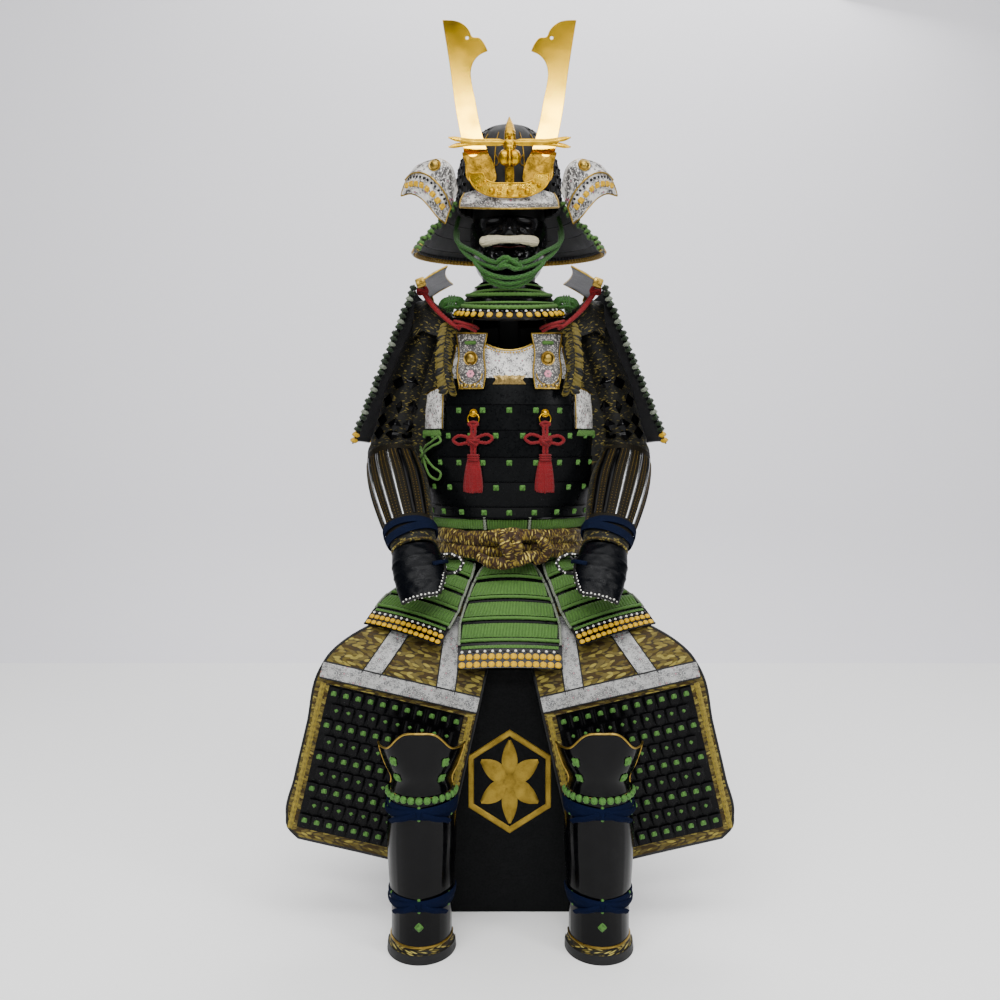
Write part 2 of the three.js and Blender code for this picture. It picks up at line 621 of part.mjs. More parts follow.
function shoulderGuards() {
  const { top, low, front, back, lames, step, curve, thick } = SHOULDER;
  const length = Math.hypot(low[0] - top[0], low[1] - top[1]);
  const out = point((top[1] - low[1]) / length, 0, (low[0] - top[0]) / length);
  const place = (u, v, lift) => {
    const y = mix(front, back, (u + 1) / 2);
    const at = point(mix(top[0], low[0], v), y, mix(top[1], low[1], v));
    return at.addScaledVector(out, lift + curve * (1 - u * u));
  };
  const vs = [];
  const lift = new Map();
  for (let i = 0; i < lames; i += 1) {
    [[i + 0.05, step], [i + 1, 0]].forEach(([at, rise]) => {
      vs.unshift(at / lames);
      lift.set(at / lames, rise);
    });
  }
  const face = (u, v) => place(u, v, lift.get(v));
  const guard = plate({ face, us: [-1, -0.6, -0.2, 0.2, 0.6, 1], vs, inner: (u, v) => place(u, v, -thick) });
  addPair('shoulder_guard', guard, LACQUER);
  const cap = (u, v) => {
    const x = mix(181, 130, v) - 10 * u * u;
    return point(x, mix(front + 6, back - 6, (u + 1) / 2), 1176 + 32 * v ** 0.8);
  };
  addPair('shoulder_cap', plate({ face: cap, us: [-1, -0.5, 0, 0.5, 1], vs: [0, 0.5, 1], thick: 2.5 }), GREY_LEATHER);
}

// ---------------------------------------------------------------- armoured sleeves

const SLEEVE = [
  { x: 160, y: 5, z: 1100, wide: 36, deep: 50 },
  { x: 205, y: 8, z: 985, wide: 40, deep: 55 },
  { x: 226, y: 7, z: 895, wide: 45.5, deep: 54 },
  { x: 234, y: -8, z: 838, wide: 51, deep: 48 },
  { x: 213, y: -70, z: 772, wide: 57, deep: 41 },
  { x: 176, y: -180, z: 668, wide: 41, deep: 29 },
];
const ELBOW = 3; // the station at the elbow
const SEAM = 4; // the station where the upper and lower parts of a sleeve meet
const SLEEVE_SIDES = steps(0, 10, 10).map((n) => 18 + n * 36);

const sleeveRings = ringsAlong(SLEEVE);

function onSleeve(u, v, out = 0) {
  const i = Math.min(Math.floor(v), SLEEVE.length - 2);
  return sleeveRings[i](u, out).lerp(sleeveRings[i + 1](u, out), v - i);
}

function sleeves() {
  const us = SLEEVE_SIDES.slice(0, -1);
  const face = (u, v) => onSleeve(u, v);
  const inner = (u, v) => onSleeve(u, v, -2);
  addPair('sleeve_upper', plate({ face, us, vs: [SEAM - 0.01, ELBOW, 2, 1, 0], inner, ring: true }), BROCADE);
  addPair('sleeve_forearm', plate({ face, us, vs: [5, SEAM], inner, ring: true }), BROCADE);
}

// Splints on the outside of the forearm, as one curved guard just off the sleeve.
function forearmGuards() {
  const face = (u, v) => onSleeve(u, v, 2.6);
  const inner = (u, v) => onSleeve(u, v, 0.7);
  const us = SLEEVE_SIDES.filter((u) => u > 300 || u < 130).map((u) => (u > 180 ? u - 360 : u));
  addPair('forearm_guard', plate({ face, us: us.sort((a, b) => a - b), vs: [4.85, SEAM, ELBOW], inner }), LACQUER);
}

// The hand guard covers the back of the hand from the wrist to the knuckles.
const HAND = [
  { x: 174, y: -187, z: 664, wide: 44, deep: 27, from: -86, to: 94 },
  { x: 168, y: -212, z: 643, wide: 47, deep: 27, from: -92, to: 92 },
  { x: 160, y: -236, z: 616, wide: 46, deep: 26, from: -70, to: 86 },
  { x: 152, y: -256, z: 586, wide: 42, deep: 23, from: -40, to: 80 },
];

function handGuards() {
  const rings = ringsAlong(HAND);
  const face = (u, v) => rings[v](mix(HAND[v].from, HAND[v].to, u));
  addPair('hand_guard', plate({ face, us: steps(0, 1, 9), vs: [3, 2, 1, 0], thick: 2 }), LACQUER);
}

// ---------------------------------------------------------------- thigh guards

// One panel hangs over each thigh, its hanging edge turned out by `lean`. `across` runs outwards from the
// inner edge and `up` runs up the panel from the fold over the lap.
const THIGH = { inner: [61, 400], lean: 13, low: -300, top: 150, thick: 2.5 };
const THIGH_FALL = [
  { up: -300, y: -258, across: 255 },
  { up: -290, y: -258, across: 272 },
  { up: -265, y: -258, across: 284 },
  { up: -200, y: -257, across: 285 },
  { up: -100, y: -255, across: 285 },
  { up: 0, y: -250, across: 285 },
  { up: 30, y: -241, across: 274 },
  { up: 60, y: -225, across: 250 },
  { up: 90, y: -206, across: 214 },
  { up: 106, y: -196, across: 192 },
  { up: 128, y: -170, across: 156 },
  { up: 150, y: -142, across: 112 },
];

function onThigh(across, up, out = 0) {
  const lean = rad(THIGH.lean);
  const x = THIGH.inner[0] + across * Math.cos(lean) - up * Math.sin(lean);
  const z = THIGH.inner[1] + across * Math.sin(lean) + up * Math.cos(lean);
  return point(x, read(THIGH_FALL, 'up', up, 'y') - out, z);
}

function thighGuards() {
  const ups = THIGH_FALL.map((s) => s.up);
  const face = (u, v) => onThigh(mix(-6, read(THIGH_FALL, 'up', v, 'across'), u), v);
  const inner = (u, v) => face(u, v).add(point(0, THIGH.thick, v > 0 ? -1 : 0));
  addPair('thigh_cloth', plate({ face, us: steps(0, 1, 6), vs: ups, inner }), BROCADE);
  const rows = [-280, -216, -215, -151, -150, -86, -85, -30];
  const rise = (v) => (rows.indexOf(v) % 2 === 0 ? 4 : 6);
  const field = (u, v) => onThigh(mix(16, 262, u), v, rise(v));
  const under = (u, v) => onThigh(mix(16, 262, u), v, GAP + 0.1);
  addPair('thigh_scales', plate({ face: field, us: steps(0, 1, 5), vs: rows, inner: under }), LACQUER);
}

// ---------------------------------------------------------------- shin guards

const LEG = { x: 153, y: -310 };
// Sections of the shin shell: height, half width and half depth, and the bearing where it ends on each side.
const SHIN = [
  { z: 24.5, wide: 52, deep: 62, end: 98 },
  { z: 70, wide: 52, deep: 61, end: 100 },
  { z: 130, wide: 57, deep: 64, end: 102 },
  { z: 200, wide: 60, deep: 66, end: 102 },
  { z: 274, wide: 57, deep: 62, end: 98 },
];
const KNEE = [
  { z: 278, wide: 54, deep: 62 },
  { z: 294, wide: 52, deep: 61 },
  { z: 316, wide: 62, deep: 68 },
  { z: 338, wide: 70, deep: 72 },
  { z: 356, wide: 75, deep: 72 },
];

const onLeg = (table, bearing, z, out = 0) => (
  around(read(table, 'z', z, 'wide') + out, read(table, 'z', z, 'deep') + out, bearing, z).add(point(LEG.x, LEG.y, 0)));

function shinGuards() {
  const shell = (u, v) => onLeg(SHIN, u * read(SHIN, 'z', v, 'end'), v);
  const us = steps(-1, 1, 14);
  addPair('shin_shell', plate({ face: shell, us, vs: SHIN.map((s) => s.z), thick: 2 }), LACQUER);
  const kneeTop = (u) => 354 + 32 * Math.exp(-((u / 36) ** 4));
  const knee = (u, v) => onLeg(KNEE, u, mix(278, kneeTop(u), v));
  const kneeUs = [-84, -66, -50, -38, -26, -12, 0, 12, 26, 38, 50, 66, 84];
  addPair('knee_plate', plate({ face: knee, us: kneeUs, vs: [0, 0.2, 0.45, 0.75, 1], thick: 2 }), LACQUER);
  const lining = (u, v) => onLeg(SHIN, u * read(SHIN, 'z', v, 'end'), v, v < 20 ? 5 : -2.5);
  addPair('shin_lining', plate({ face: lining, us, vs: [0, 14, 24, 70, 130, 200, 274], thick: 2.5 }), BROCADE);
}

// ---------------------------------------------------------------- the set

boxPieces();
boxOrnament();
stand();
helmetBowl();
helmetVisor();
neckGuard();
turnBacks();
hornPlate();
horns();
dragonfly();
faceMask();
throatGuard();
chinCord();
cuirass();
chestPlate();
underarmPlates();
shoulderStraps();
chestFlaps();
belt();
TASSETS.forEach((row) => add(row.name, tasset(row), GREEN_LACE));
shoulderGuards();
sleeves();
forearmGuards();
handGuards();
thighGuards();
shinGuards();

export default armour;
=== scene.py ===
import math
import bpy
import numpy as np
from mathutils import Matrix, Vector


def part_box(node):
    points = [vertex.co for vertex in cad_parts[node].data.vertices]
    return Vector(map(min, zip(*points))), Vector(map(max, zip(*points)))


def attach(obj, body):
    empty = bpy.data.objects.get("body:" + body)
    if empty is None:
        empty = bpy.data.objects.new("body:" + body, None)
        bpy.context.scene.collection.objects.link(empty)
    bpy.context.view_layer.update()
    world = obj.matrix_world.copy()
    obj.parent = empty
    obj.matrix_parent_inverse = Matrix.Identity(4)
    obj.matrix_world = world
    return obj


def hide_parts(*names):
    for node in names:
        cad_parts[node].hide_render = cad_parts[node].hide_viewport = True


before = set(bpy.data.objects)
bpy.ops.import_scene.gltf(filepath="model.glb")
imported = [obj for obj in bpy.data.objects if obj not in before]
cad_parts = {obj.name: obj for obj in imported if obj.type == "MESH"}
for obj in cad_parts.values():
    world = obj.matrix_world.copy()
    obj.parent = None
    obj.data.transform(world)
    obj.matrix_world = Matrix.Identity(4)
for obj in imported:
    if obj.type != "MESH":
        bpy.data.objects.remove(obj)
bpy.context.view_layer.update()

# Samurai armour on its box. Sizes in the tables are millimetres in the part's own frame: front is -Y, up is +Z,
# +X is the wearer's left. Meshes are written in metres.

mm = 0.001
weldGap = 0.00005  # metres
diagonal = 0.7071  # half of a square's diagonal
rng = np.random.RandomState(7)

# camera, floor and lights
view = {
    "distance": 2059, "height": 882, "side": -17.8,  # where the camera stands, from the box's foot
    "lens": 36.4, "shift": -0.065,
    "floor": (0.93, 0.93, 0.92), "wall": (0.84, 0.83, 0.87),
}


def makeView():
    camera = bpy.data.objects.new("camera", bpy.data.cameras.new("camera"))
    camera.data.lens = view["lens"]
    camera.data.sensor_width = 36
    camera.data.shift_y = view["shift"]
    camera.location = (view["side"] * mm, -view["distance"] * mm, view["height"] * mm)
    camera.rotation_euler = (math.radians(90), 0, 0)
    bpy.context.scene.collection.objects.link(camera)
    bpy.context.scene.camera = camera


def makeLamp(name, at, aim, size, power, mirrored=True):
    lamp = bpy.data.lights.new(name, "AREA")
    lamp.shape = "RECTANGLE"
    lamp.size, lamp.size_y = size
    lamp.energy = power
    thing = bpy.data.objects.new(name, lamp)
    thing.location = at
    thing.visible_glossy = mirrored  # whether polished faces mirror the lamp
    direction = np.array(aim, float) - np.array(at, float)
    flat = math.hypot(direction[0], direction[1])
    thing.rotation_euler = (
        math.atan2(flat, -direction[2]), 0, math.atan2(direction[1], direction[0]) - math.pi / 2
    )
    bpy.context.scene.collection.objects.link(thing)


def makeLights():
    makeLamp("skySoft", (0, -0.6, 4.2), (0, 0.2, 0), (4.5, 4.0), 145)
    makeLamp("frontSoft", (-1.9, -3.6, 2.6), (0, 0, 0.9), (2.0, 2.0), 78, mirrored=False)
    makeLamp("rightSoft", (2.6, -2.4, 2.3), (0, 0, 0.9), (0.7, 2.4), 46)
    makeLamp("hornGlare", (0.0, -3.3, 2.35), (0, 0, 1.45), (1.6, 0.4), 60)
    makeLamp("floorSoft", (0, -1.9, 3.4), (0, -1.5, 0), (3.2, 1.0), 70)
    makeLamp("backSoft", (0.4, 2.0, 3.2), (0, 0.6, 1.0), (3.0, 1.5), 60)
    world = bpy.data.worlds.new("studio")
    world.use_nodes = True
    world.node_tree.nodes["Background"].inputs["Color"].default_value = (0.86, 0.87, 0.9, 1)
    world.node_tree.nodes["Background"].inputs["Strength"].default_value = 0.2
    bpy.context.scene.world = world


makeView()
makeLights()
print("camera and lights are up")

# small tools for shapes


def arr(*rows):
    return np.array(rows, float)


def curveThrough(places, values):
    # a smooth line through (place, value) rows; values may be numbers or points
    xs = np.array(places, float)
    ys = np.array(values, float)
    if xs[-1] < xs[0]:
        xs, ys = xs[::-1], ys[::-1]
    slopes = np.gradient(ys, xs, axis=0)

    def at(x):
        x = np.clip(np.asarray(x, float), xs[0], xs[-1])
        i = np.clip(np.searchsorted(xs, x, side="right") - 1, 0, len(xs) - 2)
        h = xs[i + 1] - xs[i]
        t = (x - xs[i]) / h
        if ys.ndim > 1:
            t, h = t[..., None], h[..., None]
        a, b = 2 * t**3 - 3 * t**2 + 1, t**3 - 2 * t**2 + t
        return a * ys[i] + b * h * slopes[i] + (1 - a) * ys[i + 1] + (t**3 - t**2) * h * slopes[i + 1]

    return at


def straightThrough(places, values):
    xs, ys = np.array(places, float), np.array(values, float)
    if xs[-1] < xs[0]:
        xs, ys = xs[::-1], ys[::-1]
    return lambda x: np.interp(x, xs, ys)


def columns(rows, *names):
    # smooth readers for the named columns of a table, by its first column
    at = [row[0] for row in rows]
    return [curveThrough(at, [row[i + 1] for row in rows]) for i in range(len(names))]


def xyz(x, y, z):
    return np.stack(np.broadcast_arrays(x, y, z), axis=-1).astype(float)


def around(wide, deep, bearing, z, y0=0.0):
    turn = np.radians(bearing)
    return xyz(wide * np.sin(turn), y0 - deep * np.cos(turn), z)


def grid(us, vs):
    return np.meshgrid(np.asarray(us, float), np.asarray(vs, float))


def unit(v):
    return v / np.maximum(np.linalg.norm(v, axis=-1, keepdims=True), 1e-12)


def normalsOf(points, ring=False):
    # outward side of a grid whose columns run right and whose rows run up, seen from outside
    if ring:
        across = np.roll(points, -1, 1) - np.roll(points, 1, 1)
    else:
        across = np.gradient(points, axis=1)
    return unit(np.cross(across, np.gradient(points, axis=0)))


def lengthsAlong(points, axis):
    gaps = np.linalg.norm(np.diff(points, axis=axis), axis=-1)
    total = np.cumsum(gaps, axis=axis)
    zero = np.zeros_like(np.take(total, [0], axis=axis))
    return np.concatenate([zero, total], axis=axis)


class Form:
    # a heap of points, faces and texture places (in millimetres) that becomes one piece
    def __init__(self):
        self.points, self.faces, self.places, self.count = [], [], [], 0

    def add(self, points, faces, places=None):
        points = np.asarray(points, float).reshape(-1, 3)
        if places is None:
            places = points[:, [0, 2]]
        self.points.append(points)
        self.places.append(np.asarray(places, float).reshape(-1, 2))
        self.faces.append(np.asarray(faces, int) + self.count)
        self.count += len(points)
        return self

    def sheet(self, points, thick=0.0, ring=False, out=None, places=None, back=None):
        # a grid as a closed plate: outer face as given, inner face `thick` below it (or the grid `back`)
        rows, cols = points.shape[:2]
        if places is None:
            u = lengthsAlong(points, 1)
            u = u - u[:, [cols // 2]]
            v = lengthsAlong(points, 0)[:, [cols // 2]] + np.zeros((1, cols))
            places = np.stack([u, v], -1)
        if out is None:
            out = normalsOf(points, ring)
        if ring:
            points = np.concatenate([points, points[:, :1]], 1)
            out = np.concatenate([out, out[:, :1]], 1)
            if places.shape[1] == cols:
                step = places[:, -1:] - places[:, -2:-1]
                places = np.concatenate([places, places[:, -1:] + step], 1)
            if back is not None:
                back = np.concatenate([back, back[:, :1]], 1)
            cols += 1
        index = np.arange(rows * cols).reshape(rows, cols)
        a, b = index[:-1, :-1].ravel(), index[:-1, 1:].ravel()
        c, d = index[1:, 1:].ravel(), index[1:, :-1].ravel()
        quads = [np.stack([a, b, c, d], 1)]
        if thick or back is not None:
            n = rows * cols
            under = back if back is not None else points - out * thick
            quads.append(np.stack([a + n, d + n, c + n, b + n], 1))
            low, high = index[0], index[-1]
            quads.append(np.stack([low[:-1], low[:-1] + n, low[1:] + n, low[1:]], 1))
            quads.append(np.stack([high[:-1], high[1:], high[1:] + n, high[:-1] + n], 1))
            if not ring:
                left, right = index[:, 0], index[:, -1]
                quads.append(np.stack([left[:-1], left[1:], left[1:] + n, left[:-1] + n], 1))
                quads.append(np.stack([right[:-1], right[:-1] + n, right[1:] + n, right[1:]], 1))
            points = np.concatenate([points.reshape(-1, 3), under.reshape(-1, 3)])
            places = np.concatenate([places.reshape(-1, 2)] * 2)
        return self.add(points, np.concatenate(quads), places)

    def tube(self, path, radius, sides=10, closed=False, shape=None, flat=1.0, up=None):
        # a round bar along a line of points; shape(angle, along) swells it, flat squashes it along `up`
        path = np.asarray(path, float)
        ahead = np.roll(path, -1, 0) - np.roll(path, 1, 0) if closed else np.gradient(path, axis=0)
        ahead = unit(ahead)
        side = np.zeros_like(path)
        start = arr(0, 0, 1) if up is None else np.asarray(up, float)
        if up is None and abs(ahead[0, 2]) > 0.9:
            start = arr(1, 0, 0)
        for i, t in enumerate(ahead):
            keep = start if (up is not None or i == 0) else side[i - 1]
            keep = keep if keep.ndim == 1 else keep[i]
            side[i] = unit(keep - t * keep.dot(t))
        other = np.cross(ahead, side)
        gaps = np.linalg.norm(np.diff(path, axis=0), axis=1)
        along = np.concatenate([[0], np.cumsum(gaps)])
        angle = np.arange(sides) * 2 * math.pi / sides
        A, S = np.meshgrid(angle, along)
        r = np.asarray(radius, float)
        r = r[:, None] if r.ndim else r
        r = r * (1 if shape is None else shape(A, S))
        points = path[:, None] + side[:, None] * (r * np.cos(A) * flat)[..., None]
        points = points + other[:, None] * (r * np.sin(A))[..., None]
        places = np.stack([A / (2 * math.pi) * np.mean(r) * 6.28, S], -1)
        rows = len(path)
        index = np.arange(rows * sides).reshape(rows, sides)
        nextRow = np.roll(index, -1, 0) if closed else index[1:]
        thisRow = index if closed else index[:-1]
        a, b = thisRow, np.roll(thisRow, -1, 1)
        d, c = nextRow, np.roll(nextRow, -1, 1)
        faces = np.stack([a, b, c, d], -1).reshape(-1, 4)
        pts, plc = points.reshape(-1, 3), places.reshape(-1, 2)
        if not closed:
            pts = np.concatenate([pts, path[[0, -1]]])
            plc = np.concatenate([plc, plc[[0, -1]]])
            n = rows * sides
            first, last = index[0], index[-1]
            capA = np.stack([np.roll(first, -1), first, first * 0 + n, first * 0 + n], 1)
            capB = np.stack([last, np.roll(last, -1), last * 0 + n + 1, last * 0 + n + 1], 1)
            faces = np.concatenate([faces, capA, capB])
        return self.add(pts, faces, plc)

    def scatter(self, template, at, right, up, size=1.0):
        # copies of a small form, each at a point with its own right and up
        tp, tf, tuv = template
        at, right, up = (np.asarray(v, float).reshape(-1, 3) for v in (at, right, up))
        right = unit(right)
        up = unit(up - right * (right * up).sum(-1, keepdims=True))
        out = np.cross(right, up)
        size = np.broadcast_to(np.asarray(size, float), (len(at),)).reshape(-1, 1, 1)
        world = at[:, None] + size * (
            tp[None, :, 0:1] * right[:, None] + tp[None, :, 1:2] * up[:, None] + tp[None, :, 2:3] * out[:, None]
        )
        n = len(tp)
        faces = (tf[None] + (np.arange(len(at)) * n)[:, None, None]).reshape(-1, tf.shape[1])
        self.add(world.reshape(-1, 3), faces, np.tile(tuv, (len(at), 1)))
        return self

    def template(self):
        return np.concatenate(self.points), np.concatenate(self.faces), np.concatenate(self.places)

    def mirror(self):
        other = Form()
        points, faces, places = self.template()
        return other.add(points * arr(-1, 1, 1), faces[:, ::-1], places)

    def piece(self, name, finish, replaces=(), slot=None, crease=40, bevel=0.0, merge=False):
        points, faces, places = self.template()
        mesh = bpy.data.meshes.new(name)
        lists = [list(dict.fromkeys(f)) for f in faces.tolist()]
        mesh.from_pydata((points * mm).tolist(), [], [f for f in lists if len(f) > 2])
        layer = mesh.uv_layers.new(name="UVMap")
        corner = np.zeros(len(mesh.loops), int)
        mesh.loops.foreach_get("vertex_index", corner)
        layer.data.foreach_set("uv", (places[corner] * mm).ravel())
        mesh.materials.append(finishes[finish])
        thing = bpy.data.objects.new(name, mesh)
        bpy.context.scene.collection.objects.link(thing)
        if merge:
            weldMesh(mesh)
        mesh.shade_smooth()
        mesh.set_sharp_from_angle(angle=math.radians(crease))
        if bevel:
            cut = thing.modifiers.new("edges", "BEVEL")
            cut.width, cut.segments, cut.limit_method = bevel * mm, 2, "ANGLE"
            cut.angle_limit = math.radians(30)
        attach(thing, "root")
        if replaces:
            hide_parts(*([replaces] if isinstance(replaces, str) else replaces))
        return thing

    def pair(self, name, finish, replaces=(), **more):
        # this piece on the wearer's left, and its mirror image on the right
        names = [replaces] if isinstance(replaces, str) else list(replaces)
        left = self.piece(f"{name}Left", finish, [f"{n}_left" for n in names], **more)
        right = self.mirror().piece(f"{name}Right", finish, [f"{n}_right" for n in names], **more)
        return left, right


def forms(count):
    return [Form() for _ in range(count)]


def beadRow(white, black, places, size):
    # white and black beads in turn
    for form, k in ((white, 0), (black, 1)):
        form.scatter(beadForm(0.8), *[part[k::2] for part in places], size)


def weldMesh(mesh):
    import bmesh
    work = bmesh.new()
    work.from_mesh(mesh)
    bmesh.ops.remove_doubles(work, verts=work.verts, dist=weldGap)
    work.to_mesh(mesh)
    work.free()


def lathe(profile, sides=20):
    # a turned form: rows of (radius, height) turned about the out axis
    form = Form()
    angle = np.arange(sides) * 2 * math.pi / sides
    rows = np.array(profile, float)
    A, R = np.meshgrid(angle, rows[:, 0])
    H = np.repeat(rows[:, 1:2], sides, 1)
    form.sheet(xyz(R * np.cos(A), R * np.sin(A), H), ring=True)
    return form


def lineThrough(points, count, closed=False):
    # evenly spaced points on a smooth line through a few
    points = np.array(points, float)
    if closed:
        points = np.concatenate([points[-2:], points, points[:3]])
    gaps = np.linalg.norm(np.diff(points, axis=0), axis=1)
    s = np.concatenate([[0], np.cumsum(gaps)])
    line = curveThrough(s, points)
    if closed:
        fine = line(np.linspace(s[2], s[-3], count * 8 + 1))
    else:
        fine = line(np.linspace(0, s[-1], count * 8))
    d = np.concatenate([[0], np.cumsum(np.linalg.norm(np.diff(fine, axis=0), axis=1))])
    where = np.linspace(0, d[-1], count + 1)[:-1] if closed else np.linspace(0, d[-1], count)
    return np.stack([np.interp(where, d, fine[:, k]) for k in range(3)], -1)


def lineLength(points):
    return float(np.linalg.norm(np.diff(np.asarray(points, float), axis=0), axis=1).sum())


def twisted(strands, pitch, depth=0.2):
    return lambda a, s: 1 - depth + depth * np.abs(np.cos(strands * (a - 2 * math.pi * s / pitch) / 2))


def braided(pitch, depth=0.22):
    def shape(a, s):
        wave = np.cos(2 * a + math.pi * s / pitch) * np.cos(2 * a - math.pi * s / pitch)
        return 1 - depth + depth * np.abs(wave)

    return shape


def rope(form, points, radius, closed=False, step=None, sides=8, braid=True, flat=1.0, up=None, smoothIt=True):
    # a braided or twisted cord laid along a smooth line
    rough = lineLength(points) + (
        np.linalg.norm(np.array(points[0], float) - np.array(points[-1], float)) if closed else 0
    )
    step = step or radius * 0.55
    count = max(6, int(rough / step))
    path = lineThrough(points, count, closed) if smoothIt else np.array(points, float)
    pitch = radius * (2.0 if braid else 4.5)
    shape = braided(pitch) if braid else twisted(3, pitch * 1.6)
    form.tube(path, radius, sides, closed, shape, flat, up)
    return form


# small forms laid many times over

def pillowForm(half=1.0, rise=0.6, groove=0.0, cells=4):
    # a soft square pad, with a cross pressed into it when groove is set
    form = Form()
    u, v = grid(np.linspace(-1, 1, cells + 1), np.linspace(-1, 1, cells + 1))
    round_ = np.clip(1 - np.abs(u) ** 4, 0, 1) ** 0.5 * np.clip(1 - np.abs(v) ** 4, 0, 1) ** 0.5
    cross = 1 - groove * np.maximum(np.exp(-((u / 0.22) ** 2)), np.exp(-((v / 0.22) ** 2)))
    x = u * half * (1 - 0.10 * np.abs(v) ** 2)
    y = v * half * (1 - 0.10 * np.abs(u) ** 2)
    form.sheet(xyz(x, y, rise * round_ * cross))
    return form.template()


def crossKnotForm(reach=1.0, wide=0.42, rise=0.45):
    # two flat laces crossing, as at a cross knot
    form = Form()
    for turn in (1, -1):
        s, t = grid(np.linspace(-1, 1, 7), np.linspace(-1, 1, 3))
        height = rise * (1 - 0.55 * np.abs(t) ** 2) * (1 - 0.85 * np.abs(s) ** 3) * (1.0 if turn > 0 else 0.8)
        across = t * wide * (1 - 0.25 * s**2)
        x = (s * reach - across) * diagonal
        y = (s * reach + across) * diagonal * turn
        if turn < 0:
            x, y, height = x[:, ::-1], y[:, ::-1], height[:, ::-1]
        form.sheet(xyz(x, y, height))
    return form.template()


def beadForm(rise=0.8, sides=7, rings=3):
    angles = np.linspace(0, math.pi / 2, rings)
    return lathe([(math.cos(a), rise * math.sin(a)) for a in angles], sides).template()


def studForm(sides=20):
    rows = [
        (1.0, 0), (1.0, 0.12), (0.92, 0.2), (0.82, 0.14), (0.76, 0.14), (0.7, 0.3), (0.56, 0.5), (0.34, 0.62),
        (0.02, 0.66)
    ]
    return lathe(rows, sides).template()


def rowOn(face, us, v, lift=0.0):
    # places along one line of a surface face(u, v): position, right and up
    us = np.asarray(us, float)
    vv = np.full_like(us, v)
    e = 1e-3 * max(1.0, abs(us[-1] - us[0]))
    at = face(us, vv)
    right = face(us + e, vv) - face(us - e, vv)
    up = face(us, vv + 1e-3) - face(us, vv - 1e-3)
    out = unit(np.cross(unit(right), unit(up)))
    return at + out * lift, right, up


def evenPlaces(face, u0, u1, v, count, ends=0.5):
    # count bearings spaced evenly by length along a line of a surface
    fine = np.linspace(u0, u1, 200)
    line = face(fine, np.full_like(fine, v))
    d = np.concatenate([[0], np.cumsum(np.linalg.norm(np.diff(line, axis=0), axis=1))])
    return np.interp((np.arange(count) + ends) / (count - 1 + 2 * ends) * d[-1], d, fine)


def lacedBand(form, face, us, v0, v1, strands, rise, lift, rows=5, slant=0.0):
    # close-set upright laces from v0 up to v1 on a one-sided sheet
    # each strand is a rounded rib, drawn in at both ends
    per = 4  # points across one strand
    u = np.linspace(0, 1, strands * per + 1)
    v = np.linspace(0, 1, rows)
    U, V = np.meshgrid(u, v)
    lean = slant * (V - 0.5) / strands
    across = us[0] + (us[1] - us[0]) * np.clip(U + lean, 0, 1)
    at = face(across, v0 + (v1 - v0) * V)
    out = normalsOf(at)
    rib = np.abs(np.sin(math.pi * U * strands)) ** 0.6
    fade = np.clip(1 - np.abs(2 * V - 1) ** 6, 0, 1)
    form.sheet(at + out * (lift + rise * rib * (0.35 + 0.65 * fade))[..., None])
    return form

# finishes

def tint(code):
    # a colour written as it looks on screen
    parts = [int(code[i:i + 2], 16) / 255 for i in (1, 3, 5)]
    return tuple(c / 12.92 if c < 0.04045 else ((c + 0.055) / 1.055) ** 2.4 for c in parts) + (1.0,)


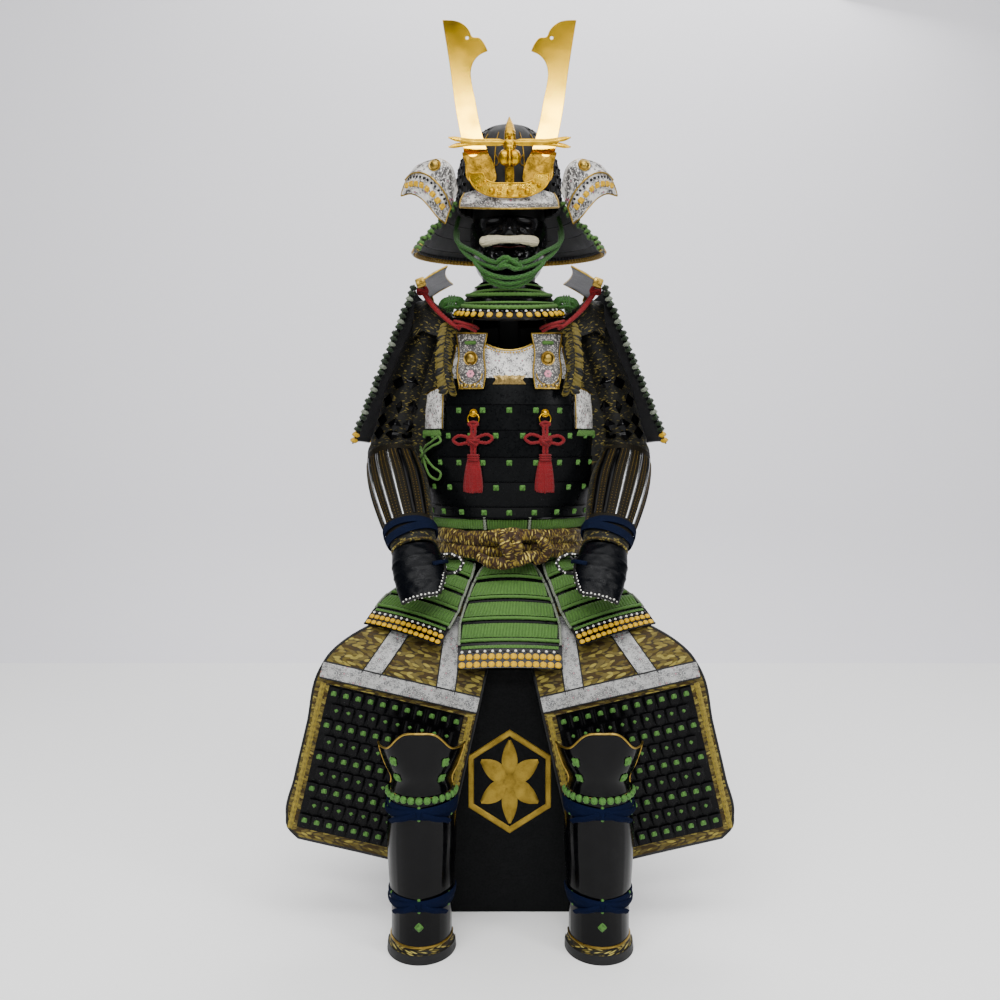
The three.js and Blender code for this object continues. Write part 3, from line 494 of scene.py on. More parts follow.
class Finish:
    # one material and the few kinds of node it is built from
    def __init__(self, name, color, rough, metal=0.0, **sockets):
        self.made = bpy.data.materials.new(name)
        self.made.use_nodes = True
        self.tree = self.made.node_tree
        self.shader = self.tree.nodes["Principled BSDF"]
        self.shader.inputs["Base Color"].default_value = tint(color)
        self.shader.inputs["Roughness"].default_value = rough
        self.shader.inputs["Metallic"].default_value = metal
        for key, value in sockets.items():
            self.shader.inputs[key.replace("_", " ")].default_value = value
        self.made.diffuse_color = tint(color)

    def node(self, kind, inputs=(), **settings):
        made = self.tree.nodes.new("ShaderNode" + kind)
        for key, value in settings.items():
            setattr(made, key, value)
        for key, value in dict(inputs).items():
            socket = made.inputs[key]
            if isinstance(value, bpy.types.NodeSocket):
                self.tree.links.new(value, socket)
            else:
                socket.default_value = value
        return made

    def cloth(self, wide, tall=None, turn=0.0):
        # texture places in steps of wide x tall millimetres along the piece
        start = self.node("UVMap", uv_map="UVMap").outputs["UV"]
        scale = (1000 / wide, 1000 / (tall or wide), 1)
        return self.node(
            "Mapping", {"Vector": start, "Scale": scale, "Rotation": (0, 0, turn)}
        ).outputs["Vector"]

    def solid(self, step):
        start = self.node("TexCoord").outputs["Object"]
        return self.node("Mapping", {"Vector": start, "Scale": (1000 / step,) * 3}).outputs["Vector"]

    def noise(self, where, scale=1.0, detail=3.0, rough=0.55):
        inputs = {"Vector": where, "Scale": scale, "Detail": detail, "Roughness": rough}
        return self.node("TexNoise", inputs).outputs["Fac"]

    def cells(self, where, feature="F1", random=1.0, scale=1.0):
        return self.node("TexVoronoi", {"Vector": where, "Scale": scale, "Randomness": random}, feature=feature)

    def bands(self, where, scale=1.0, across="X", blur=0.0, shape="SIN"):
        inputs = {"Vector": where, "Scale": scale * 0.31416, "Distortion": blur}
        return self.node("TexWave", inputs, bands_direction=across, wave_profile=shape).outputs["Fac"]

    def math(self, how, a, b=0.0):
        made = self.node("Math", operation=how)
        for socket, value in zip(made.inputs, (a, b)):
            if isinstance(value, bpy.types.NodeSocket):
                self.tree.links.new(value, socket)
            else:
                socket.default_value = value
        return made.outputs[0]

    def ramp(self, fac, *stops, hard=False):
        made = self.node("ValToRGB", {"Fac": fac})
        steps = made.color_ramp
        steps.interpolation = "CONSTANT" if hard else "LINEAR"
        while len(steps.elements) < len(stops):
            steps.elements.new(0.5)
        for spot, (at, color) in zip(steps.elements, stops):
            spot.position = at
            spot.color = tint(color) if isinstance(color, str) else (color, color, color, 1)
        return made.outputs["Color"]

    def blend(self, fac, a, b, how="MIX"):
        made = self.node("Mix", data_type="RGBA", blend_type=how)
        for socket, value in ((made.inputs[0], fac), (made.inputs[6], a), (made.inputs[7], b)):
            if isinstance(value, bpy.types.NodeSocket):
                self.tree.links.new(value, socket)
            else:
                socket.default_value = tint(value) if isinstance(value, str) else value
        return made.outputs[2]

    def feed(self, socket, value):
        self.tree.links.new(value, self.shader.inputs[socket])
        return self

    def bump(self, height, depth=0.3, strength=1.0):
        # depth in millimetres
        made = self.node("Bump", {"Height": height, "Distance": depth * mm, "Strength": strength})
        return self.feed("Normal", made.outputs["Normal"])


def lacquer(name, color, rough, coat, wave=0.06, grain=9.0):
    # brushed and polished lacquer: a faint unevenness, a dusty sheen and small rubbed marks
    f = Finish(name, color, rough, 0.0, Coat_Weight=coat, Coat_Roughness=0.07, Specular_IOR_Level=0.1)
    soft = f.noise(f.solid(grain), detail=4.0)
    fine = f.noise(f.solid(1.1), detail=2.0)
    f.feed("Roughness", f.ramp(soft, (0.3, rough * 0.75), (0.75, rough * 1.5)))
    marks = f.ramp(f.noise(f.solid(26.0), detail=6.0, rough=0.7), (0.45, 0.0), (0.8, 1.0))
    f.feed("Base Color", f.blend(f.math("MULTIPLY", marks, 0.3), color, "#121314"))
    return f.bump(f.math("ADD", soft, f.math("MULTIPLY", fine, 0.25)), wave).made


def gilt(name, color, dark, rough, grain=14.0, relief=0.0, relief_step=2.0, brushed=0.0):
    # gilded metal: tarnish in soft patches, fine polishing lines, and a stippled ground when relief is set
    f = Finish(name, color, rough, 1.0)
    patch = f.noise(f.solid(grain), detail=5.0, rough=0.6)
    tone = f.blend(f.ramp(patch, (0.42, 0.0), (0.78, 0.75)), color, dark)
    f.feed("Roughness", f.ramp(patch, (0.3, rough * 0.8), (0.8, rough * 1.6)))
    height = f.math("MULTIPLY", f.noise(f.solid(0.9), detail=2.0), 0.06 + brushed)
    if relief:
        stipple = f.cells(f.solid(relief_step)).outputs["Distance"]
        height = f.math("ADD", height, stipple)
        tone = f.blend(f.ramp(stipple, (0.05, 0.55), (0.45, 0.0)), tone, dark)
    f.feed("Base Color", tone)
    return f.bump(height, max(relief, 0.05)).made


def silk(name, light, dark, pitch=1.6, rise=0.25, sheen=0.1, lean=0.6):
    # plaited silk: small slanting stitches in two directions, with a painted highlight where they stand up and
    # painted shade in the grooves between them
    f = Finish(name, light, 0.7, 0.0, Sheen_Weight=sheen, Sheen_Roughness=0.4, Specular_IOR_Level=0.3)
    one = f.bands(f.cloth(pitch, pitch / lean, 0.6), blur=0.4)
    two = f.bands(f.cloth(pitch, pitch / lean, -0.6), blur=0.4)
    plait = f.math("MAXIMUM", one, two)
    wear = f.noise(f.solid(6.0), detail=4.0)
    # painted shade in the grooves between stitches, times random wear; dark and light are shaded and lit tones
    # of the one thread
    shade = f.math("MULTIPLY", f.ramp(plait, (0.2, 0.35), (0.85, 1.0)), f.ramp(wear, (0.3, 0.7), (0.7, 1.0)))
    f.feed("Base Color", f.blend(shade, dark, light))
    return f.bump(f.math("ADD", plait, f.math("MULTIPLY", wear, 0.4)), rise).made


def brocade(name, ground, threads, long=11.0, tall=4.2, lean=0.35, gleam=0.3, cover=0.52, rough=0.55):
    # figured silk: slanting dashes of coloured thread on a dark ground, over a fine rib
    f = Finish(name, threads[0], rough, 0.0, Sheen_Weight=0.05, Specular_IOR_Level=0.2)
    base = f.cloth(1.0)
    sway = f.noise(f.cloth(long * 2.2), detail=1.0)
    split = f.node("SeparateXYZ", {"Vector": base})
    row = f.math("PINGPONG", split.outputs["Y"], tall * 2.5)
    x = f.math("ADD", split.outputs["X"], f.math("MULTIPLY", row, lean * 4))
    x = f.math("ADD", x, f.math("MULTIPLY", sway, long * 0.9))
    joined = f.node("CombineXYZ", {
        "X": f.math("DIVIDE", x, long), "Y": f.math("DIVIDE", split.outputs["Y"], tall),
    }).outputs["Vector"]
    dash = f.cells(joined, random=0.55)
    stroke = f.ramp(dash.outputs["Distance"], (cover * 0.72, 1.0), (cover, 0.0))
    pick = f.node("SeparateColor", {"Color": dash.outputs["Color"]}).outputs["Red"]
    stops = [(i / len(threads), c) for i, c in enumerate(threads)]
    color = f.ramp(pick, *stops, hard=True)
    rib = f.bands(f.cloth(0.9), across="DIAGONAL", blur=0.6)
    worn = f.noise(f.cloth(30.0), detail=4.0)
    color = f.blend(stroke, ground, color)
    color = f.blend(f.math("MULTIPLY", f.ramp(rib, (0.1, 1.0), (0.7, 0.0)), 0.45), color, ground)
    color = f.blend(f.ramp(worn, (0.35, 0.35), (0.62, 0.0)), color, ground)
    f.feed("Base Color", color)
    f.feed("Metallic", f.math("MULTIPLY", stroke, gleam))
    height = f.math("ADD", f.math("MULTIPLY", stroke, 0.8), f.math("MULTIPLY", rib, 0.35))
    return f.bump(height, 0.35).made


def printed(name, paper, inks, step=5.5, ink=0.5, rough=0.42, dark="#16151a"):
    # printed leather: a fine generic scatter of little flowers and leaves on a pale ground
    f = Finish(name, paper, rough, 0.0)
    where = f.cloth(step)
    flower = f.cells(where, random=0.75)
    d = flower.outputs["Distance"]
    petals = f.math("ABSOLUTE", f.math("SUBTRACT", d, 0.3))
    ring = f.ramp(petals, (0.05, 0.8), (0.11, 0.0))
    heart = f.ramp(d, (0.16, 1.0), (0.24, 0.0))
    leaf = f.ramp(
        f.noise(f.cloth(step * 0.36), detail=3.0, rough=0.65), (0.60 - ink * 0.09, 0.0),
        (0.65 - ink * 0.09, 1.0)
    )
    spread = f.ramp(f.noise(f.cloth(step * 3.5), detail=2.0), (0.42, 0.15), (0.58, 1.0))
    pick = f.node("SeparateColor", {"Color": flower.outputs["Color"]}).outputs["Green"]
    inkTone = f.ramp(pick, *[(i / len(inks), c) for i, c in enumerate(inks)], hard=True)
    color = f.blend(f.math("MULTIPLY", leaf, spread), paper, dark)
    color = f.blend(ring, color, dark)
    color = f.blend(heart, color, inkTone)
    age = f.noise(f.cloth(40.0), detail=5.0, rough=0.65)
    color = f.blend(f.ramp(age, (0.4, 0.0), (0.75, 0.35)), color, "#6f6a62")
    f.feed("Base Color", color)
    f.feed("Roughness", f.ramp(age, (0.3, rough * 0.8), (0.8, rough * 1.4)))
    grain = f.cells(f.cloth(0.8)).outputs["Distance"]
    return f.bump(f.math("ADD", f.math("MULTIPLY", grain, 0.6), f.math("MULTIPLY", ring, 0.5)), 0.12).made


def hide(name, color, light, rough, grain=1.1, depth=0.15):
    f = Finish(name, color, rough, 0.0, Specular_IOR_Level=0.3)
    crumb = f.cells(f.solid(grain)).outputs["Distance"]
    tone = f.noise(f.solid(22.0), detail=5.0, rough=0.65)
    f.feed("Base Color", f.blend(f.ramp(tone, (0.35, 0.0), (0.8, 0.7)), color, light))
    f.feed("Roughness", f.ramp(tone, (0.3, rough * 0.85), (0.8, min(1.0, rough * 1.3))))
    return f.bump(f.math("ADD", crumb, tone), depth).made


def plainCloth(name, color, light, pitch=0.7):
    f = Finish(name, color, 0.9, 0.0, Specular_IOR_Level=0.06)
    warp = f.bands(f.cloth(pitch), across="X", blur=0.5)
    weft = f.bands(f.cloth(pitch), across="Y", blur=0.5)
    weave = f.math("MULTIPLY", warp, weft)
    tone = f.noise(f.solid(18.0), detail=4.0)
    # painted highlight where warp and weft cross and stand up, painted shade between them, varied by random
    # tone
    f.feed("Base Color", f.blend(f.math("MULTIPLY", weave, tone), color, light))
    return f.bump(weave, 0.2).made


def mailFinish(name):
    # small linked rings, gilt on black
    f = Finish(name, "#1c180c", 0.6, 0.2, Specular_IOR_Level=0.15)
    ring = f.cells(f.cloth(4.2), random=0.1).outputs["Distance"]
    link = f.ramp(f.math("ABSOLUTE", f.math("SUBTRACT", ring, 0.33)), (0.07, 1.0), (0.15, 0.0))
    tone = f.noise(f.cloth(14.0), detail=3.0)
    metal = f.blend(tone, "#060503", "#2e2610")
    f.feed("Base Color", f.blend(link, "#0b0b0a", metal))
    return f.bump(link, 0.45).made


finishes = {
    "lacquer": lacquer("blackLacquer", "#020203", 0.15, 0.05),
    "maskLacquer": lacquer("maskLacquer", "#030304", 0.2, 0.3),
    "satinLacquer": lacquer("satinLacquer", "#040506", 0.3, 0.0, wave=0.10, grain=5.0),
    "mattLacquer": lacquer("mattLacquer", "#060708", 0.6, 0.0, wave=0.06, grain=3.0),
    "gold": gilt("polishedGold", "#c49c1c", "#8a6a10", 0.13, grain=60.0, brushed=0.03),
    "satinGold": gilt("satinGold", "#c89c1c", "#6b4a04", 0.3),
    "stippledGold": gilt("stippledGold", "#c49c24", "#5a3c08", 0.28, relief=0.4, relief_step=2.2),
    "darkGold": gilt("darkGold", "#86661a", "#2c1e06", 0.38, relief=0.3, relief_step=3.5),
    "brass": gilt("brassRim", "#a98c40", "#4f3c16", 0.33, grain=9.0),
    "emblemGold": gilt("emblemGold", "#a08638", "#7d6624", 0.5, grain=22.0, relief=0.06, relief_step=1.5),
    "darkBrass": gilt("darkBrass", "#9b8350", "#4b3d1f", 0.36, grain=7.0, relief=0.2, relief_step=3.0),
    "steel": gilt("polishedSteel", "#c9cbcd", "#8b8d90", 0.2, grain=18.0),
    "green": silk("greenLace", "#4c7430", "#0f200a"),
    "deepGreen": silk("deepGreenLace", "#2b5a1c", "#081605"),
    "yellow": silk("yellowKnots", "#cca000", "#7a5a00", pitch=1.2),
    "bronzeSilk": silk("bronzeKnots", "#b08c30", "#4a3408", pitch=1.2),
    "red": silk("redSilk", "#74000a", "#2c0003", pitch=1.3),
    "redFringe": silk("redFringe", "#78000a", "#360004", pitch=0.7, rise=0.2, lean=0.15),
    "hair": silk("creamHair", "#d6ceb2", "#8f8562", pitch=0.6, rise=0.3, lean=0.15),
    "pink": silk("pinkThread", "#d98ea0", "#8e3f55", pitch=1.0),
    "fleck": silk("fleckedBraid", "#7d8474", "#0c140d", pitch=3.0, rise=0.3),
    "cordGreen": silk("greenCord", "#2c5c1c", "#050f03", pitch=4.2, rise=0.9, lean=0.8),
    "edgeSilk": silk("edgeKnots", "#16260f", "#040703", pitch=1.4),
    "goldBead": gilt("goldBead", "#8a7030", "#3c2c0a", 0.4),
    "bowlIron": hide("bowlIron", "#020202", "#08080a", 0.6, grain=2.0, depth=0.06),
    "darkCloth": plainCloth("darkCloth", "#020203", "#0a0a0c"),
    "leaf": silk("leafGreenKnots", "#44702c", "#1a3411", pitch=1.1),
    "goldThread": silk("goldThread", "#8c7a2a", "#0d0a02", pitch=2.2, rise=0.4, lean=0.2),
    "navy": plainCloth("navyCloth", "#070c1c", "#1a2644"),
    "navyTie": plainCloth("navyTie", "#040a1e", "#0e1a3a", pitch=1.2),
    "handLacquer": lacquer("handLacquer", "#010205", 0.3, 0.0, wave=0.25, grain=3.0),
    "scaleLeather": lacquer("scaleLeather", "#030304", 0.3, 0.0, wave=0.2, grain=4.0),
    "blackLeather": hide("blackLeather", "#050506", "#141416", 0.5),
    "greyLeather": hide("greyLeather", "#2b2c2e", "#55585b", 0.5),
    "darkLeather": hide("neckGuardLeather", "#0b0c0d", "#1d1e20", 0.5),
    "printed": printed(
        "printedLeather", "#dedcd8", ["#1b1a20", "#b05a73", "#d9c9ca", "#7e7c80"], step=6.0, ink=1.3
    ),
    "flapPrinted": printed(
        "flapLeather", "#1e1d20", ["#d8d4ce", "#a34a5e", "#d8d4ce"], step=4.2, ink=0.7, dark="#bdb8b0"
    ),
    "boldPrinted": printed(
        "boldLeather", "#e2dfda", ["#16151a", "#a02850", "#16151a", "#c06080"], step=9.0, ink=2.0
    ),
    "edgePrinted": printed("edgeLeather", "#17161a", ["#e6e2da", "#c9c4ba"], step=3.0, dark="#cfcac0"),
    "tape": printed(
        "silverTape", "#9c9c9a", ["#66676a", "#c8c6c2", "#b06a78"], step=6.0, ink=1.5, rough=0.45,
        dark="#46474a"
    ),
    "olive": brocade(
        "oliveBrocade", "#251c0b", ["#5a4d1a", "#7a6c30", "#3a2c0e", "#9a8c40", "#64582a"], long=12, tall=4.8,
        cover=0.72
    ),
    "darkBrocade": brocade(
        "darkBrocade", "#060605", ["#191910", "#4d4620", "#101109", "#7c6e34", "#26220f"], long=6, tall=4,
        cover=0.5
    ),
    "goldBrocade": brocade(
        "goldBrocade", "#0e0c06", ["#6e6024", "#a8964a", "#463a14", "#c8b860"], long=9, tall=4.5, cover=0.5,
        lean=0.8
    ),
    "beltBrocade": brocade(
        "beltBrocade", "#2a1b10", ["#8f7a2c", "#46300e", "#cdb85a", "#2c1c08", "#7e6c28"], long=11, tall=3.0,
        cover=0.6
    ),
    "mail": mailFinish("ringMail"),
    "lip": lacquer("redLip", "#2a0605", 0.3, 0.3),
    "whiteBead": silk("whiteBead", "#e8e6df", "#a9a69b", pitch=1.0),
    "blackBead": hide("blackBead", "#0c0c0d", "#26262a", 0.4, grain=0.6),
}


print("finishes are mixed")

# floor, wall, box and stand

def makeStage():
    sizes = {"floor": (9000, -3600, 2350), "bend": 500}
    wide, near, far = sizes["floor"]
    lift = [(near, 0), (far - sizes["bend"], 0)]
    lift += [
        (far - sizes["bend"] * (1 - math.sin(a)), sizes["bend"] * (1 - math.cos(a)))
        for a in np.linspace(0.2, math.pi / 2, 8)
    ]
    lift += [(far, 4200)]
    rows = np.array(lift, float)
    for name, part, color in (("floor", rows[:2], view["floor"]), ("wall", rows[1:], view["wall"])):
        form = Form()
        x, y = np.meshgrid([-wide, wide], part[:, 0])
        form.sheet(xyz(x, y, np.repeat(part[:, 1:2], 2, 1)))
        mesh = bpy.data.meshes.new(name)
        points, faces, _ = form.template()
        mesh.from_pydata((points * mm).tolist(), [], faces.tolist())
        mesh.shade_smooth()
        f = Finish(name, "#c8c8ca", 0.5 if name == "floor" else 0.9)
        f.shader.inputs["Base Color"].default_value = (*color, 1)
        mesh.materials.append(f.made)
        thing = bpy.data.objects.new(name, mesh)
        bpy.context.scene.collection.objects.link(thing)


box = {"edge": 2.5}


def makeBox():
    for name, node in (("boxBody", "box_body"), ("boxLid", "box_lid")):
        low, high = (np.array(v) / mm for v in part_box(node))
        corners = xyz(*[g.ravel() for g in np.meshgrid(*zip(low, high), indexing="ij")])
        faces = [(0, 1, 3, 2), (4, 6, 7, 5), (0, 4, 5, 1), (2, 3, 7, 6), (0, 2, 6, 4), (1, 5, 7, 3)]
        Form().add(corners, faces).piece(name, "mattLacquer", node, bevel=box["edge"])


def makeOrnament():
    # a gilt six-sided frame round a six-petalled flower, set flat on the front of the box
    low, high = (np.array(v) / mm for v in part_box("box_ornament"))
    mid = (low + high) / 2
    front, wide, tall = low[1], (high[0] - low[0]) / 2, (high[2] - low[2]) / 2
    form = Form()
    petal = {"reach": 0.80, "wide": 0.19, "rise": 1.6}
    for i in range(6):
        turn = math.radians(60 * i)
        s, t = grid(np.linspace(0, 1, 15), np.linspace(-1, 1, 9))
        half = petal["wide"] * np.sin(np.clip(s, 0.02, 0.98) ** 0.75 * math.pi) ** 0.7
        along, across = 0.1 + s * (petal["reach"] - 0.1), half * t
        x = (along * math.sin(turn) + across * math.cos(turn)) * wide
        z = (along * math.cos(turn) - across * math.sin(turn)) * tall
        y = -petal["rise"] * (1 - t**2) - 0.4
        form.sheet(xyz(mid[0] + x, front + 2 + y, mid[2] + z), thick=1.0)
    for i in range(6):
        a = np.radians(np.array([i * 60.0, i * 60.0 + 60]))
        edge = np.stack([np.sin(a), np.cos(a)], 1)
        line = edge[0][None] + (edge[1] - edge[0])[None] * np.linspace(0, 1, 8)[:, None]
        rows = []
        for k, rise in ((0.865, 0.0), (0.885, 1.4), (0.98, 1.4), (1.0, 0.0)):
            rows.append(xyz(
                mid[0] + line[:, 0] * wide / math.sin(math.pi / 3) * k * 0.866 * 1.155, front + 1.6 - rise,
                mid[2] + line[:, 1] * tall * k
            ))
        form.sheet(np.array(rows), thick=0.8)
    dome = lathe([(13, 0), (13, 1.6), (11, 2.4), (6, 2.9), (0.2, 3.1)], 24).template()
    form.scatter(dome, [[mid[0], front + 1.5, mid[2]]], [[1, 0, 0]], [[0, 0, 1]])
    form.piece("boxOrnament", "emblemGold", "box_ornament")


stand = {
    "foot": (70, 60, 500.4, 520), "post": 22, "bar": (115, 18, 1066, 1098),
    "head": [
        (38, 1172), (40, 1195), (52, 1215), (66, 1250), (72, 1300), (72, 1345), (66, 1385), (50, 1420),
        (26, 1440), (0.3, 1446)
    ],
}


def makeStand():
    # a foot, a post and a shoulder bar, with a smooth turned head on top
    form = Form()
    fx, fy, f0, f1 = stand["foot"]
    bx, by, b0, b1 = stand["bar"]
    post = stand["post"]
    for hx, hy, z0, z1, r in ((fx, fy, f0, f1, 8), (post, post, f1, 1178, 6), (bx, by, b0, b1, 8)):
        a = np.arange(32) * 2 * math.pi / 32
        edge = lambda inset: np.stack([
            np.sign(np.cos(a)) * np.abs(np.cos(a)) ** 0.25 * (hx - inset),
            np.sign(np.sin(a)) * np.abs(np.sin(a)) ** 0.25 * (hy - inset)
        ], 1)
        rows = [(z0, r), (z0, 1.5), (z0 + 1.5, 0), (z1 - 1.5, 0), (z1, 1.5), (z1, r)]
        form.sheet(np.array([np.column_stack([edge(inset), np.full(32, z)]) for z, inset in rows]), ring=True)
    wide = curveThrough([z for _, z in stand["head"]], [r for r, _ in stand["head"]])
    us, vs = grid(np.arange(48) * 7.5, np.linspace(1172, 1446, 40))
    form.sheet(around(wide(vs), wide(vs) * 1.18, us, vs), ring=True)
    form.piece("standAndHead", "blackLeather", "stand_and_head", slot="stand_paint")


makeStage()
makeBox()
makeOrnament()
makeStand()
print("box and stand are set")

# helmet

headY = -8  # the head sits a little forward of the box's middle


def cutSheet(form, outlines, front, thick, bevel=0.5):
    # a flat plate cut from sheet, facing the front; the first outline is its edge and the rest are holes
    curve = bpy.data.curves.new("cut", "CURVE")
    curve.dimensions, curve.fill_mode = "2D", "BOTH"
    curve.extrude, curve.bevel_depth, curve.bevel_resolution = thick / 2 - bevel, bevel, 2
    curve.offset = -bevel
    for outline in outlines:
        spline = curve.splines.new("POLY")
        spline.points.add(len(outline) - 1)
        for spot, (x, z) in zip(spline.points, outline):
            spot.co = (x, z, 0, 1)
        spline.use_cyclic_u = True
    thing = bpy.data.objects.new("cut", curve)
    bpy.context.scene.collection.objects.link(thing)
    mesh = bpy.data.meshes.new_from_object(thing.evaluated_get(bpy.context.evaluated_depsgraph_get()))
    points = np.array([v.co for v in mesh.vertices])
    faces = [list(p.vertices) + [p.vertices[-1]] * (4 - len(p.vertices)) for p in mesh.polygons]
    form.add(xyz(points[:, 0], front - points[:, 2] + thick / 2, points[:, 1]), faces)
    bpy.data.objects.remove(thing)
    bpy.data.curves.remove(curve)
    bpy.data.meshes.remove(mesh)


def smoothEdge(points, steps=6, closed=False):
    # an outline rounded through its points
    flat = np.array([(x, 0, z) for x, z in points], float)
    line = lineThrough(flat, len(points) * steps, closed)
    return [(p[0], p[2]) for p in line]


bowl = {
    "rows": [
        (1340, 104, 124), (1385, 104, 123), (1428, 97, 115), (1460, 81, 97), (1484, 59, 72), (1500, 36, 44),
        (1507, 17, 18)
    ],
    "ribs": 32, "ribHeight": 2.2, "frontPanel": 38, "top": 1507, "rivetLow": 1346, "rivetHigh": 1494,
    "rivets": 9, "rivetSize": 5.6,
    "lines": (16, 34),  # bearings of the thin gilt lines on the front panel
    "crown": [
        (24, 0), (25, 2), (19, 3), (18, 5), (20, 7), (13, 8.5), (12, 11), (14, 12.5), (6, 14), (5, 17),
        (0.3, 18.5)
    ],
}
bowlWide, bowlDeep = columns(bowl["rows"], "wide", "deep")


def bowlFace(bearing, z):
    return around(bowlWide(z), bowlDeep(z), bearing, z, headY)


def makeBowl():
    us = np.arange(0, 360, 360 / (bowl["ribs"] * 8))
    vs = np.concatenate([np.linspace(1340, 1470, 9), np.linspace(1476, bowl["top"], 8)])
    U, V = grid(us, vs)
    at = bowlFace(U, V)
    out = normalsOf(at, ring=True)
    away = np.abs((U + 180) % 360 - 180)
    phase = (U / 360 * bowl["ribs"]) % 1
    rib = np.exp(-(((phase - 0.5) / 0.1) ** 2)) * np.clip((away - bowl["frontPanel"]) / 2, 0, 1)
    fade = np.clip((bowl["top"] - V) / 20, 0, 1)
    form, rivets = forms(2)
    form.sheet(at + out * (rib * fade * bowl["ribHeight"])[..., None], thick=3, ring=True, out=out)
    form.sheet(
        bowlFace(us[None] + 0 * V[:2], np.array([[1338.0], [1346.0]]) + 0 * U[:2]) + out[:2] * 1.6, thick=2,
        ring=True, out=out[:2]
    )
    rivet = beadForm(0.95)
    for i in range(bowl["ribs"]):
        bearing = i * 360 / bowl["ribs"]
        if abs((bearing + 180) % 360 - 180) < bowl["frontPanel"]:
            continue
        zs = np.interp(
            (np.arange(bowl["rivets"]) + 0.5) / bowl["rivets"], [0, 0.55, 1],
            [bowl["rivetLow"], 1440, bowl["rivetHigh"]]
        )
        spots, right, up = rowOn(lambda z, u: bowlFace(u, z), zs, bearing)
        size = np.interp(
            zs, [bowl["rivetLow"], bowl["rivetHigh"]], [bowl["rivetSize"], bowl["rivetSize"] * 0.62]
        )
        rivets.scatter(rivet, spots, -right, up, size)
    rivets.piece("bowlRivets", "lacquer")
    form.piece("helmetBowl", "bowlIron", "helmet_bowl")

    gilt_ = Form()
    for bearing in bowl["lines"]:
        for side in (-1, 1):
            zs = np.linspace(1350, 1470, 16)
            line = bowlFace(side * bearing + 0 * zs, zs)
            line = line + unit(line - arr(0, headY, 1360)) * 0.6
            gilt_.tube(line, 1.1, 6)
            curl = [(0, 1420), (-5, 1412), (-7, 1401), (-2, 1396), (2, 1402)]
            away = lambda z: unit(bowlFace(side * bearing, z) - arr(0, headY, 1360))
            hook = [bowlFace(side * bearing + dx * 0.62 * side, z) + away(z) for dx, z in curl]
            gilt_.tube(lineThrough(hook, 14), 1.0, 6)
    crown = lathe([(r, h) for r, h in bowl["crown"]], 24).template()
    gilt_.scatter(crown, [[0, headY, 1497]], [[1, 0, 0]], [[0, 1, 0]])
    petals = np.arange(10) * 36.0
    spots = around(19, 19, petals, 1503.5 + 0 * petals, headY)
    gilt_.scatter(
        beadForm(0.6), spots, around(1, 1, petals + 90, 0 * petals), around(1, 1, petals, 0 * petals), 4.4
    )
    gilt_.piece("bowlFittings", "darkGold")


hornCut = {
    "outer": [(78, 1372), (89, 1432), (100, 1490), (113, 1581), (127, 1668)],
    "head": [(112, 1668), (97, 1665), (86, 1659), (76, 1648), (70, 1636), (57, 1634), (48, 1624), (41, 1609)],
    "inner": [
        (41, 1609), (56, 1602), (67, 1590), (73, 1570), (71, 1547), (65, 1517), (56, 1469), (48, 1439),
        (38, 1410), (26, 1372)
    ],
    "eye": (80, 1634, 3.2), "front": -145, "thick": 2,
    "pocket": [
        (25, 1366), (27, 1384), (37, 1409), (45, 1417), (55, 1417), (64, 1410), (73, 1409), (82, 1416),
        (88, 1418), (84, 1396), (80, 1366)
    ],
}


def makeHorns():
    inner = smoothEdge(hornCut["inner"], 5)
    outline = smoothEdge(hornCut["outer"], 5) + smoothEdge(hornCut["head"], 5)[1:] + inner[1:]
    x, z, r = hornCut["eye"]
    eye = [(x + r * math.cos(a), z + r * math.sin(a)) for a in np.linspace(0, 2 * math.pi, 20, endpoint=False)]
    form = Form()
    cutSheet(form, [outline, eye], hornCut["front"], hornCut["thick"], 0.6)
    form.pair("horn", "gold", "horn", crease=30)
    pocket = Form()
    cutSheet(pocket, [smoothEdge(hornCut["pocket"], 5, True)], hornCut["front"] - 1.2, 1.6, 0.4)
    for k in (0, 1):
        cutSheet(
            pocket,
            [smoothEdge([(p[0] * 0.86 + 8, (p[1] - 1390) * 0.8 + 1388) for p in hornCut["pocket"]], 5, True)],
            hornCut["front"] - 2.2 - k * 0.3, 1.0, 0.35
        )
    pocket.pair("hornPocket", "darkGold", crease=30)


hornPlate = {
    "rows": [
        (0, 1326, 1354), (30, 1328, 1355), (44, 1332, 1361), (50, 1335, 1374), (62, 1343, 1375),
        (70, 1352, 1375), (75, 1362, 1376)
    ],
    "bigStuds": [(0, 1336, 7.4), (33.5, 1339.5, 7.4)],
    "smallStuds": [(18.7, 1344.5, 5.0), (20, 1333, 4.4), (46, 1357, 4.8), (56, 1351.5, 4.8)],
}


